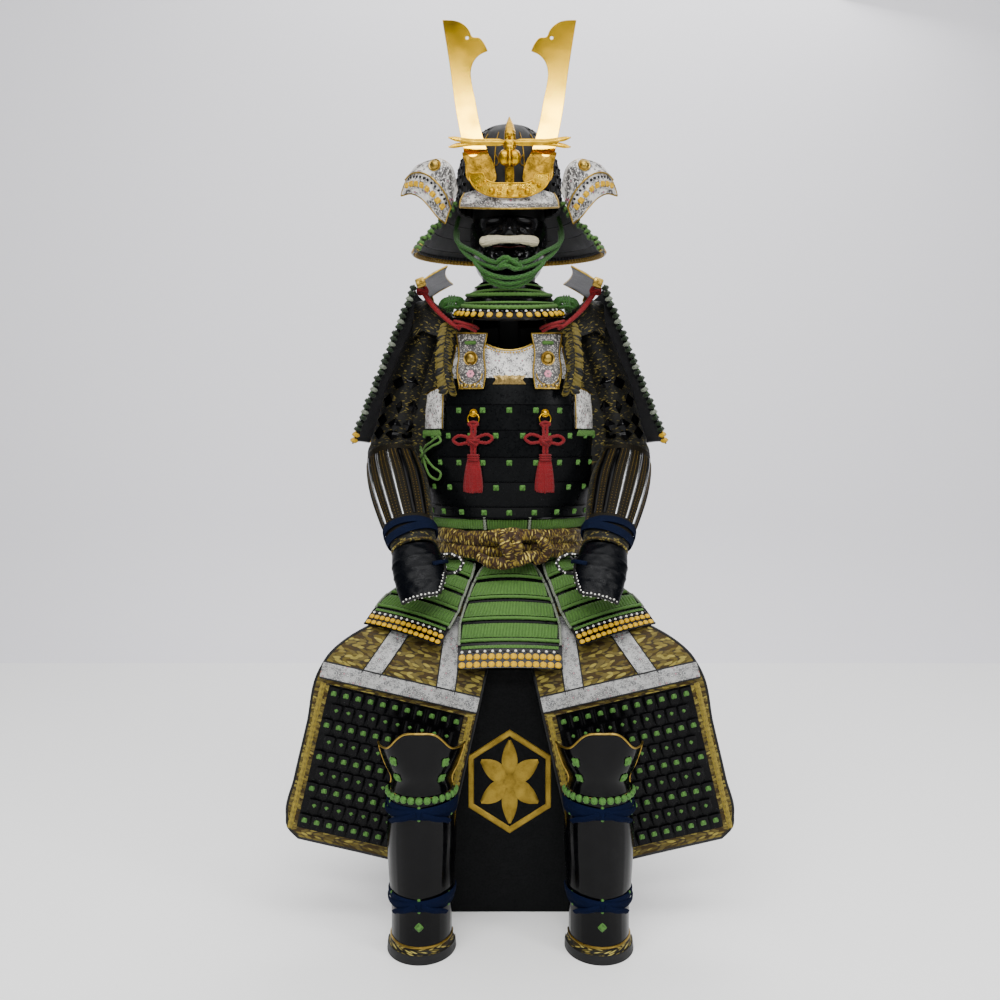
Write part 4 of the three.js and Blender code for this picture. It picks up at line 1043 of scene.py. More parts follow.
def makeHornPlate():
    at = [row[0] for row in hornPlate["rows"]]
    low = curveThrough(at, [row[1] for row in hornPlate["rows"]])
    high = straightThrough(at, [row[2] for row in hornPlate["rows"]])
    bend = lambda x: -166 + x**2 / 420
    us = np.concatenate([
        -np.linspace(75, 50, 10), -np.linspace(49, 44, 6), np.linspace(-42, 42, 25), np.linspace(44, 49, 6),
        np.linspace(50, 75, 10)
    ])
    U, V = grid(us, np.linspace(0, 1, 9))
    Z = low(np.abs(U)) + (high(np.abs(U)) - low(np.abs(U))) * V
    form = Form()
    form.sheet(xyz(U, bend(U), Z), thick=2)
    form.piece("hornPlate", "stippledGold", "horn_plate")
    trim = Form()
    edge = xyz(us, bend(us) - 0.8, low(np.abs(us)) + 0.6)
    top = xyz(us[::-1], bend(us[::-1]) - 0.8, high(np.abs(us[::-1])) - 0.8)
    trim.tube(np.concatenate([edge, top]), 1.25, 8, closed=True)
    for table in ("bigStuds", "smallStuds"):
        for x, z, size in hornPlate[table]:
            for side in ((-1, 1) if x else (1,)):
                lean = 2 * x * side / 420
                trim.scatter(studForm(), [[side * x, bend(x) - 0.3, z]], [[1, lean, 0]], [[0, 0, 1]], size)
    trim.piece("hornPlateStuds", "satinGold")


dragonfly = {
    "middle": (0, -171, 1424), "wingReach": 114, "wingHalf": 4.6, "wingThick": 1.5, "tipSplit": 7.0,
    "tail": [(0, -171, 1430), (0, -168, 1444), (0, -158, 1462), (0, -141, 1485)],
    "tailRadius": [10.5, 9.2, 6.2, 1.2],
    "eyes": (9.5, -175, 1399), "eyeSize": (11.5, 11.5, 15.0),
}


def ball(form, at, size, sides=20, rings=13, shape=None):
    # an egg, with its texture places around and up
    u, v = grid(np.arange(sides) * 360 / sides, np.linspace(-89, 89, rings))
    wide = np.cos(np.radians(v))
    scale = 1.0 if shape is None else shape(u, v)
    x = size[0] * wide * np.sin(np.radians(u)) * scale
    y = -size[1] * wide * np.cos(np.radians(u)) * scale
    z = size[2] * np.sin(np.radians(v)) * scale
    form.sheet(xyz(x + at[0], y + at[1], z + at[2]), ring=True)
    for sign in (-1, 1):
        row = xyz(x + at[0], y + at[1], z + at[2])[0 if sign < 0 else -1]
        tip = np.array([at[0], at[1], at[2] + sign * size[2]])
        n = len(row)
        index = np.arange(n)
        faces = np.stack([index, np.roll(index, -1), index * 0 + n, index * 0 + n], 1)
        form.add(np.concatenate([row, tip[None]]), faces if sign > 0 else faces[:, [1, 0, 2, 3]])


def makeDragonfly():
    form = Form()
    mx, my, mz = dragonfly["middle"]
    ball(form, (mx, my, mz), (13, 11, 13))
    ball(form, (mx, my - 5, mz - 8), (10, 8, 9))
    tail = lineThrough(dragonfly["tail"], 30)
    radius = np.interp(np.linspace(0, 1, 30), np.linspace(0, 1, 4), dragonfly["tailRadius"])
    ridge = lambda a, s: 1 + 0.16 * np.exp(-(((a - math.pi / 2) / 0.4) ** 2)) + 0.05 * np.cos(s * 0.9)
    form.tube(tail, radius, 16, shape=ridge, flat=0.72, up=(0, -1, 0.3))
    ball(form, (0, -180, 1441), (5.5, 5, 5))
    for side in (-1, 1):
        ex, ey, ez = dragonfly["eyes"]
        ball(form, (side * ex, ey, ez), dragonfly["eyeSize"], 24, 17)
        for up in (-1, 1):
            s, t = grid(np.linspace(0, 1, 30), np.linspace(-1, 1, 7))
            half = dragonfly["wingHalf"] * np.clip(s * 6 + 0.35, 0, 1) * np.clip((1 - s) * 8, 0, 1) ** 0.5
            part = np.clip((s - 0.55) / 0.45, 0, 1) ** 1.4
            z = mz + 3 + up * (1.5 + part * dragonfly["tipSplit"]) + half * t
            x = side * (8 + s * (dragonfly["wingReach"] - 8))
            vein = 0.5 * np.abs(np.sin(t * 4.5)) * np.clip((1 - s) * 5, 0, 1)
            y = my - 5 - up * 1.5 - dragonfly["wingThick"] * np.sqrt(np.clip(1 - t**2, 0, 1)) - vein
            points = xyz(x, y, z)
            form.sheet(points if side > 0 else points[:, ::-1], thick=2.0)
    nose = [(0, -186, 1412), (0, -188, 1402), (0, -187, 1390), (0, -182, 1383)]
    form.tube(
        lineThrough(nose, 14), np.interp(np.linspace(0, 1, 14), [0, 0.3, 0.7, 1], [1.2, 2.0, 3.0, 1.6]), 10
    )
    form.piece("dragonfly", "satinGold", "dragonfly_crest")
    stem = Form()
    s, t = grid(np.linspace(-8.5, 8.5, 9), np.linspace(1346, 1392, 14))
    stem.sheet(xyz(s, -160 - 2.5 * np.sqrt(np.clip(1 - (s / 9) ** 2, 0, 1)) - (t - 1346) * 0.12, t), thick=2)
    for z in (1352, 1366, 1380):
        for lean in (-1, 1):
            stem.tube(
                lineThrough([(-7 * lean, -163.4, z - 6), (0, -166, z), (7 * lean, -165, z + 6)], 9), 1.2, 6
            )
    stem.piece("crestStem", "darkGold")


visor = {
    "rim": (118, 162, 1305), "rise": 42, "inner": (108, 128, 1354), "reach": 54, "thick": 2.5, "edgeBand": 0.22
}


def visorFace(bearing, v):
    (w0, d0, z0), (w1, d1, z1) = visor["rim"], visor["inner"]
    lift = visor["rise"] * (1 - np.cos(np.radians(bearing)))
    dome = 3.0 * np.sin(math.pi * np.clip(v, 0, 1))
    return around(
        w0 + (w1 - w0) * v + dome, d0 + (d1 - d0) * v + dome, bearing, z0 + lift * (1 - v) + (z1 - z0) * v,
        headY
    )


def makeVisor():
    us = np.linspace(-visor["reach"], visor["reach"], 49)
    form = Form()
    form.sheet(visorFace(*grid(us, np.linspace(0, 1, 11))), thick=visor["thick"])
    form.piece("visor", "boldPrinted", "helmet_visor")
    band = Form()
    at = visorFace(*grid(us, np.linspace(0.0, visor["edgeBand"], 4)))
    band.sheet(at + normalsOf(at) * 0.7, thick=0.9)
    band.piece("visorEdge", "edgePrinted")
    rim = Form()
    low = visorFace(us, 0 * us)
    sideL = visorFace(0 * us[:12] + us[0], np.linspace(1, 0.08, 12))
    sideR = visorFace(0 * us[:12] + us[-1], np.linspace(0.08, 1, 12))
    rim.tube(lineThrough(np.concatenate([sideL, low, sideR]), 110), 1.9, 10)
    rim.piece("visorRim", "brass")


turnBack = {
    # low, middle and high edge of the turned-back wing, from its root outwards
    "rows": [
        [(124, -106, 1290), (112, -118, 1321), (100, -118, 1352)],
        [(138, -122, 1300), (123, -142, 1344), (108, -142, 1386)],
        [(153, -126, 1318), (142, -150, 1361), (128, -148, 1402)],
        [(169, -119, 1336), (165, -139, 1370), (154, -138, 1402)],
        [(189, -105, 1348), (187, -117, 1371), (180, -116, 1396)],
        [(211, -84, 1349), (206, -90, 1364), (199, -90, 1380)],
    ],
    "split": [(0, 0.9), (1, 0.95), (2, 1.05), (3, 1.25), (4, 1.5), (5, 1.85)],
    "knots": 8, "knotSize": 5.8, "beads": 13, "boss": (2.3, 1.66, 12.5),
}
turnRows = [curveThrough(range(6), [row[k] for row in turnBack["rows"]]) for k in range(3)]
turnSplit = curveThrough([a for a, _ in turnBack["split"]], [b for _, b in turnBack["split"]])


def turnFace(s, t):
    low, mid, high = (line(s) for line in turnRows)
    t = np.asarray(t, float)[..., None]
    return low * (t - 1) * (t - 2) / 2 + mid * t * (2 - t) + high * t * (t - 1) / 2


def makeTurnBacks():
    ss = np.linspace(0, 5, 41)
    lower, upper, trim, knots, beads, boss = forms(6)
    S, V = grid(ss, np.linspace(0, 1, 13))
    at = turnFace(S, V * (turnSplit(S) + 0.1))
    lower.sheet(at, thick=2)
    S, V = grid(ss, np.linspace(0, 1, 9))
    split = turnSplit(S)
    at = turnFace(S, split + V * (2 - split))
    upper.sheet(at + normalsOf(at) * 1.8, thick=1.6)
    for line, lift, size in ((turnFace(ss, 0 * ss), 0, 1.7), (turnFace(ss, 0 * ss + 2), 1.0, 1.7)):
        trim.tube(lineThrough(line, 60), size, 8)
    line, right, up = rowOn(lambda s, t: turnFace(s, turnSplit(s) + t), ss, 0.0, 2.6)
    trim.tube(lineThrough(line, 60), 1.7, 8)
    for s0 in (0.0, 5.0):
        trim.tube(turnFace(s0 + 0 * V[:, 0][:9], np.linspace(0, 2, 9)), 1.7, 8)
    face = lambda s, k: turnFace(s, turnSplit(s) * k)
    spots = evenPlaces(face, 0.55, 4.75, 0.5, turnBack["knots"])
    knots.scatter(pillowForm(1.0, 0.75, 0.3), *rowOn(face, spots, 0.5, 0.4), turnBack["knotSize"])
    spots = evenPlaces(face, 0.4, 4.6, 0.82, turnBack["beads"])
    beads.scatter(beadForm(0.8), *rowOn(face, spots, 0.82, 0.2), 3.0)
    for k, lift in ((0.12, 0.5), (0.98, 0.5)):
        at = face(*grid(ss, np.linspace(k - 0.09, k + (0.09 if k < 0.5 else 0.0), 3)))
        upper.sheet(at + normalsOf(at) * lift, thick=0.6)
    s0, t0, size = turnBack["boss"]
    at = turnFace(np.array([s0]), np.array([t0]))
    e = 0.02
    right = turnFace(np.array([s0 + e]), np.array([t0])) - turnFace(np.array([s0 - e]), np.array([t0]))
    up = turnFace(np.array([s0]), np.array([t0 + e])) - turnFace(np.array([s0]), np.array([t0 - e]))
    out = unit(np.cross(unit(right), unit(up)))
    boss.scatter(studForm(28), at + out * 2.0, right, up, size)
    lower.pair("turnBackLower", "boldPrinted", "turn_back")
    upper.pair("turnBackUpper", "boldPrinted")
    trim.pair("turnBackRim", "brass")
    knots.pair("turnBackKnots", "yellow")
    beads.pair("turnBackBeads", "blackBead")
    boss.pair("turnBackBoss", "brass")


neckGuard = {
    # top and low edge, half width inside and out, and where each lame starts round the front
    "lames": [
        (1352, 1318, 108, 128, 74), (1326, 1294, 131, 151, 70), (1302, 1270, 154, 173, 68),
        (1278, 1247, 176, 194, 67)
    ],
    "deeper": 22, "rise": 14, "laceWide": 6.4, "knotStep": 10.2, "cornerTab": 7,
}


def neckFace(lame):
    top, low, inside, outside, _ = lame
    rise = lambda u, wide: -neckGuard["rise"] * np.cos(np.radians(u)) * (wide / 194)

    def face(u, v):
        wide = outside + (inside - outside) * v
        return around(wide, wide + neckGuard["deeper"], u, low + (top - low) * v + rise(u, outside), headY)

    return face


def makeNeckGuard():
    for i, lame in enumerate(neckGuard["lames"]):
        face, start = neckFace(lame), lame[4]
        us = np.linspace(start, 360 - start, 97)
        plate = Form()
        plate.sheet(face(*grid(us, np.linspace(0, 1, 7))), thick=2)
        plate.piece(f"neckLame{i + 1}", "darkLeather", f"neck_lame_{i + 1}")
        length = math.radians(360 - 2 * start) * (lame[3] + 11)
        lace = Form()
        lacedBand(
            lace, face, (start + 1.5, 358.5 - start), 0.16, 0.98, int(length / neckGuard["laceWide"]), 1.9, 0.7
        )
        for end in (0, 1):
            u0 = start if end == 0 else 360 - start
            turn = 1 if end == 0 else -1
            for v in (0.18, 0.5, 0.82):
                outerSpot = rowOn(face, np.array([u0 + 5 * turn, u0 + 2 * turn]), v, 2.4)[0]
                edge = rowOn(face, [u0 - turn], v, -1.0)[0]
                inside = rowOn(face, np.array([u0 + 2.0 * turn, u0 + 4.5 * turn]), v, -4.4)[0]
                rope(lace, np.concatenate([outerSpot, edge, inside]), 4.1, sides=10)
        lace.piece(f"neckLacing{i + 1}", "green")
        rim = Form()
        rim.tube(lineThrough(face(us, 0 * us) - arr(0, 0, 0.5), 150), 1.6, 8)
        rim.piece(f"neckRim{i + 1}", "lacquer")
    face, start = neckFace(neckGuard["lames"][-1]), neckGuard["lames"][-1][4]
    count = int(math.radians(360 - 2 * start) * 210 / neckGuard["knotStep"])
    bumps, knots, tabs = forms(3)
    for lift, flip in ((0.6, 1), (-3.4, -1)):
        us = evenPlaces(face, start + neckGuard["cornerTab"], 360 - start - neckGuard["cornerTab"], 0.1, count)
        at, right, up = rowOn(face, us, 0.1, lift)
        knots.scatter(pillowForm(1.0, 0.7, 0.25), at, right * flip, up, 5.8)
        us = evenPlaces(face, start + neckGuard["cornerTab"], 360 - start - neckGuard["cornerTab"], 0.33, count)
        at, right, up = rowOn(face, us, 0.33, lift + (1.6 if flip > 0 else 0))
        bumps.scatter(beadForm(0.8), at, right * flip, up, 3.8)
    for turn in (1, -1):
        u0 = start if turn > 0 else 360 - start
        us = np.linspace(u0 - 0.8 * turn, u0 + neckGuard["cornerTab"] * turn, 9)[::turn]
        at = face(*grid(us, np.linspace(-0.06, 0.62, 7)))
        out = normalsOf(at)
        tabs.sheet(at + out * 2.6, back=at - out * 3.4, out=out)
    knots.piece("neckGuardKnots", "bronzeSilk")
    bumps.piece("neckGuardBumps", "blackBead")
    tabs.piece("neckGuardCorners", "goldBrocade")


makeBowl()
makeHorns()
makeHornPlate()
makeDragonfly()
makeVisor()
makeTurnBacks()
makeNeckGuard()
print("helmet is made")

# face mask, chin cords and throat guard

mask = {
    "rows": [
        (1186, 40, 82, 0), (1202, 58, 106, 8), (1222, 68, 113, 2), (1238, 73, 112, -6),
        (1256, 76, 114, 4), (1272, 78, 113, 16), (1290, 78, 110, 14), (1304, 77, 106, 8),
    ],
    "reach": 88, "thick": 2.5, "low": 1186, "high": 1304,
    # soft forms on the face: bearing, height, half width, half height and how far each stands out
    "forms": [
        (11, 1262, 5, 7, 5.5), (38, 1280, 14, 11, 4.5), (25, 1300, 14, 4, 4.5), (24, 1291, 10, 5, -3.5),
        (34, 1222, 10, 12, 3.0), (0, 1199, 14, 9, 5.0), (0, 1222, 15, 3.5, 3.5), (58, 1262, 12, 22, 1.5),
    ],
    # creases beside the nose and mouth: three places and the height of each ridge
    "creases": [
        [(13, 1272), (25, 1262), (36, 1240), 2.4], [(20, 1278), (34, 1266), (45, 1240), 1.8],
        [(40, 1262), (52, 1248), (56, 1224), 1.5], [(30, 1214), (20, 1206), (8, 1203), 1.4],
    ],
    "mouth": (0, 1232, 24, 8, -11),
}
maskWide, maskDeep, maskNose = columns(mask["rows"], "wide", "deep", "nose")


def maskFace(u, z, detail=True):
    u, z = np.broadcast_arrays(np.asarray(u, float), np.asarray(z, float))
    lift = np.exp(-((u / 9) ** 2)) * maskNose(z)
    if detail:
        for b, h, wide, tall, rise in mask["forms"]:
            for side in ((-1, 1) if b else (1,)):
                lift = lift + rise * np.exp(-(((u - side * b) / wide) ** 2) - ((z - h) / tall) ** 2)
        b, h, wide, tall, rise = mask["mouth"]
        lift = lift + rise * np.clip(1.6 * np.exp(-(((u - b) / wide) ** 4) - ((z - h) / tall) ** 4), 0, 1)
        for p0, p1, p2, rise in mask["creases"]:
            line = curveThrough([0, 1, 2], [p0, p1, p2])(np.linspace(0, 2, 15))
            gap = np.min([np.hypot((np.abs(u) - q[0]) * 1.5, z - q[1]) for q in line], axis=0)
            lift = lift + rise * (np.exp(-((gap / 2.6) ** 2)) - 0.5 * np.exp(-(((gap - 5) / 2.6) ** 2)))
    base = around(maskWide(z), maskDeep(z), u, z, headY)
    return base - np.stack([0 * lift, lift, 0 * lift], -1)


def makeMask():
    form = Form()
    us, vs = np.linspace(-mask["reach"], mask["reach"], 105), np.linspace(mask["low"], mask["high"], 51)
    at = maskFace(*grid(us, vs))
    form.sheet(at, thick=mask["thick"])
    form.tube(lineThrough(maskFace(us, mask["low"] + 0 * us) - arr(0, 0.5, 0), 90), 2.0, 8)
    form.piece("faceMask", "maskLacquer", "face_mask", crease=60)
    lips = Form()
    us = np.linspace(-24, 24, 25)
    line = maskFace(us, 1243.5 - 2.0 * np.exp(-((us / 9) ** 2)), False) - arr(0, 5.5, 0)
    lips.tube(line, 1.7, 8, flat=0.8)
    lips.piece("mouthEdge", "lip")


moustache = {
    "reach": 44, "height": 1257, "half": [(0, 6.4), (10, 6.8), (24, 8.6), (36, 9.8), (42, 8.6), (44, 5.5)],
    "droop": 2.5, "out": 5.0
}


def makeMoustache():
    us = np.linspace(-moustache["reach"], moustache["reach"], 61)
    half = curveThrough([a for a, _ in moustache["half"]], [b for _, b in moustache["half"]])(np.abs(us))
    z = moustache["height"] - moustache["droop"] * np.exp(-((us / 12) ** 2)) - 1.0 * (np.abs(us) / 44) ** 2
    path = maskFace(us, z, False) - np.stack(
        [0 * us, moustache["out"] + 3.0 * np.exp(-((us / 12) ** 2)), 0 * us], -1
    )
    strand = rng.uniform(-1, 1, (24, 2))
    hair = lambda a, s: (
        1 + 0.05 * np.cos(12 * a + s * 0.11) + 0.05 * np.cos(17 * a - s * 0.17 + strand[0, 0])
        + 0.02 * np.cos(31 * a + s * 0.4)
    )
    form = Form()
    form.tube(path, half, 60, shape=hair, flat=1.0, up=(0, 0, 1))
    form.piece("moustache", "hair")
    wisps = Form()
    for side in (-1, 1):
        for k in range(26):
            u0 = side * rng.uniform(4, 40)
            drop = rng.uniform(-0.9, 0.9)
            h = np.interp(abs(u0), us[us >= 0], half[us >= 0])
            uu = u0 + side * np.linspace(0, rng.uniform(5, 9), 7)
            zz = np.interp(uu, us, z) + h * drop * np.linspace(0.95, 1.0, 7)
            out = moustache["out"] + h * math.sqrt(1 - drop**2) * 0.92
            wisps.tube(maskFace(np.clip(uu, -46, 46), zz, False) - arr(0, out, 0), np.linspace(0.9, 0.25, 7), 5)
    wisps.piece("moustacheWisps", "hair")


chinCord = {
    "side": [
        (102, 6, 1326), (107, -22, 1292), (98, -72, 1258), (64, -116, 1232), (34, -138, 1212), (6, -148, 1204)
    ],
    "radius": 5.2,
    # where the second strand and the loops under the chin lie
    "second": [
        (104, -6, 1296), (100, -58, 1262), (78, -100, 1228), (44, -130, 1206), (18, -146, 1198),
        (-4, -152, 1206)
    ],
    "loops": [
        [
            (70, -104, 1224), (60, -126, 1204), (36, -146, 1186), (0, -154, 1178), (-36, -146, 1186),
            (-60, -126, 1204), (-70, -104, 1224)
        ],
        [
            (60, -112, 1212), (48, -132, 1192), (24, -146, 1174), (-6, -150, 1168), (-34, -142, 1178),
            (-54, -124, 1196), (-62, -108, 1214)
        ],
        [
            (54, -116, 1200), (40, -132, 1180), (10, -142, 1163), (-26, -140, 1168), (-48, -126, 1186),
            (-56, -112, 1204)
        ],
    ],
    "knot": [
        (-22, -152, 1210), (-8, -158, 1216), (10, -159, 1206), (22, -153, 1198), (12, -158, 1194),
        (-6, -160, 1200), (-20, -154, 1198), (-8, -157, 1208), (16, -154, 1212)
    ],
}


def makeChinCords():
    form = Form()
    r = chinCord["radius"]
    for key in ("side", "second"):
        rope(form, chinCord[key], r, sides=12)
    turned = form.mirror()
    form.add(*turned.template())
    for loop in chinCord["loops"]:
        rope(form, loop, r - 0.4, sides=12)
    rope(form, chinCord["knot"], r, sides=12)
    form.piece("chinCords", "cordGreen", "chin_cord")


throat = {
    # top, low, half width inside and out, and how far the middle dips
    "lames": [(1186, 1160, 62, 80, 4), (1166, 1141, 83, 99, 14), (1147, 1122, 102, 117, 24)],
    "deeper": (42, 36), "reach": 74,
    # rows of cord on each lame: where it lies and how thick it is
    "cords": [[(0.62, 2.3), (0.1, 3.0)], [(0.86, 4.4), (0.2, 2.6)], [(0.93, 4.6)]],
    "knots": 17, "beads": 34,
}


def throatFace(lame):
    top, low, inside, outside, dip = lame

    def face(u, v):
        wide = outside + (inside - outside) * v
        deep = wide + throat["deeper"][0] + (throat["deeper"][1] - throat["deeper"][0]) * v
        return around(wide, deep, u, low + (top - low) * v - dip * np.cos(np.radians(u)), headY)

    return face


def makeThroat():
    us = np.linspace(-throat["reach"], throat["reach"], 61)
    cords = Form()
    for i, lame in enumerate(throat["lames"]):
        face = throatFace(lame)
        form = Form()
        U, V = grid(us, np.linspace(0, 1, 9))
        at = face(U, V)
        bulge = 1.6 * np.sin(math.pi * V)
        form.sheet(at + normalsOf(at) * bulge[..., None], thick=2.2)
        form.tube(lineThrough(face(us, 0 * us), 80), 1.7, 8)
        form.piece(f"throatLame{i + 1}", "lacquer", f"throat_lame_{i + 1}")
        for v, size in throat["cords"][i]:
            line = rowOn(face, us * 0.985, v, size * 0.7)[0]
            rope(cords, line, size, sides=12)
    cords.piece("throatCords", "green")
    face = throatFace(throat["lames"][2])
    knots, white, black = forms(3)
    spots = evenPlaces(face, -72, 72, 0.34, throat["knots"])
    knots.scatter(beadForm(0.75, 12, 5), *rowOn(face, spots, 0.34, 1.2), 6.3)
    knots.piece("throatKnots", "yellow")
    spots = evenPlaces(face, -72, 72, 0.66, throat["beads"])
    beadRow(white, black, rowOn(face, spots, 0.66, 1.4), 2.7)
    white.piece("throatWhiteBeads", "whiteBead")
    black.piece("throatBlackBeads", "blackBead")
    collar = Form()
    heights = [1166, 1192, 1212]
    wide, deep = straightThrough(heights, [64, 52, 56]), straightThrough(heights, [100, 92, 96])
    U, V = grid(np.linspace(-100, 100, 41), np.linspace(1166, 1212, 12))
    at = around(wide(V) + 1.2 * np.abs(np.sin(V * 0.42)), deep(V), U, V, headY)
    collar.sheet(at, thick=2)
    collar.piece("throatCollar", "blackLeather")
    nape = Form()
    U, V = grid(np.linspace(70, 290, 45), np.linspace(0, 1, 9))
    at = around(132 - 62 * V, 88 - 2 * V, U, 1070 + 100 * V + 3 * np.sin(np.radians(U * 9)), 2)
    nape.sheet(at, thick=2)
    nape.piece("napeCloth", "blackLeather")


makeMask()
makeMoustache()
makeChinCords()
makeThroat()
print("mask and throat guard are made")

# cuirass

torso = {
    "rows": [
        (600, 150, 110), (720, 160, 117), (792, 168, 121), (840, 170, 123),
        (892, 171, 122), (992, 165, 114), (1050, 150, 104), (1110, 136, 94),
    ],
    "edges": [720, 744, 792, 840, 892, 941, 992],  # where one lame laps over the next
    "lap": 2.2, "knots": 20, "knotPitch": 20.8, "knotDrop": 11.5, "knotSize": 6.3, "split": 89.8,
}
torsoWide, torsoDeep = columns(torso["rows"], "wide", "deep")


def torsoFace(u, z, out=0.0):
    return around(torsoWide(z) + out, torsoDeep(z) + out, u, z)


def lapAt(z):
    # each lame stands out at its top edge and tucks in at its low edge
    edges = np.array(torso["edges"], float)
    i = np.clip(np.searchsorted(edges, z, side="right") - 1, 0, len(edges) - 2)
    share = np.clip((z - edges[i]) / (edges[i + 1] - edges[i]), 0, 1)
    return torso["lap"] * share**1.5


def makeTrunkPlate(name, node, middle, topAt):
    # rows doubled at each lap so that every edge stays crisp
    low, high = 720.0, 1102.0
    zs = []
    for a, b in zip(torso["edges"][:-1], torso["edges"][1:]):
        zs += [a + 0.05, *np.linspace(a + 4, b - 3, 4), b - 1.2, b - 0.3, b - 0.05]
    zs = np.array(zs + list(np.linspace(1000, high, 9) if middle else []))
    us = np.linspace(-torso["split"], torso["split"], 77)
    U, V = grid(us, zs)
    Z = np.minimum(V, topAt(U))
    lap = lapAt(V) - 0.9 * ((V % 1 > 0.9) & (V < 992))
    at = torsoFace(U + middle, Z, lap)
    form = Form()
    form.sheet(at, thick=2.5)
    form.piece(name, "satinLacquer", node, crease=28)


def makeTrunk():
    front = lambda u: np.where(np.abs(u) < 47, 992.0, 892.0)
    back = lambda u: np.where(np.abs(u) < 47, 1102.0, 892.0)
    makeTrunkPlate("cuirassFront", "cuirass_front", 0, front)
    makeTrunkPlate("cuirassBack", "cuirass_back", 180, back)
    knots = Form()
    block = pillowForm(1.0, 0.55, 0.35)
    tie = crossKnotForm(1.05, 0.36, 0.75)
    for row, edge in enumerate(torso["edges"][1:-1][::-1]):
        start = 0 if row % 2 == 0 else 0.5
        pitch = torso["knotPitch"]
        for k in range(torso["knots"]):
            turn = (k + start) * 360 / pitch
            turn = turn if turn < 180 else turn - 360 + 360 * (pitch - torso["knots"]) / pitch
            if edge > 900 and 46 < abs(turn) < 134:
                continue
            if abs(abs(turn) - 90) < 3:
                continue
            face = lambda u, z: torsoFace(u, z, lapAt(z))
            at, right, up = rowOn(face, [turn], edge - torso["knotDrop"], 0.3)
            knots.scatter(block, at, right, up, torso["knotSize"] * 0.86)
            knots.scatter(tie, at, right, up, torso["knotSize"])
    knots.piece("cuirassKnots", "leaf")
    rim = Form()
    for edge in torso["edges"][1:-1]:
        us = np.arange(0, 360, 4.0) if edge < 900 else np.linspace(-46, 46, 31)
        for turn in ((0,) if edge < 900 else (0, 180)):
            rim.tube(torsoFace(us + turn, edge - 0.8 + 0 * us, torso["lap"] - 0.1), 0.9, 6, closed=edge < 900)
    for middle in (0, 180):
        line = torsoFace(np.linspace(-89, 89, 60) + middle, 721.0, 0.8)
        rim.tube(lineThrough(line, 90), 2.2, 8)
        for end in (-89.6, 89.6):
            zs = np.linspace(723, 890, 20)
            rim.tube(torsoFace(end + middle, zs, 1.0), 1.6, 8)
    rim.piece("cuirassRims", "lacquer")


chest = {
    "reach": 45, "low": 992.4, "flapLow": 972, "flapHigh": 1080,
    "flap": [(972, 50, 96), (1000, 46, 101), (1040, 49, 98), (1080, 43, 104)],
    "studAt": (74.5, 1030), "studSize": 14.5, "barAt": (75, 1061, 11.5), "flowerAt": (75, 1000),
}
flapIn, flapOut = columns(chest["flap"], "inner", "outer")


def chestTop(u):
    u = np.abs(u)
    return 1046 + 26 * (1 - np.cos(np.radians(np.minimum(3.4 * u, 110)))) - 3 * np.maximum(0, u - 36)


def chestFace(u, v):
    return torsoFace(u, chest["low"] + (chestTop(u) - chest["low"]) * v, 0.4)


def flapFace(x, z):
    deep, wide = torsoDeep(z) + 9, torsoWide(z) + 7
    return xyz(x, -deep * np.sqrt(np.clip(1 - (x / wide) ** 2, 0, 1)), z)


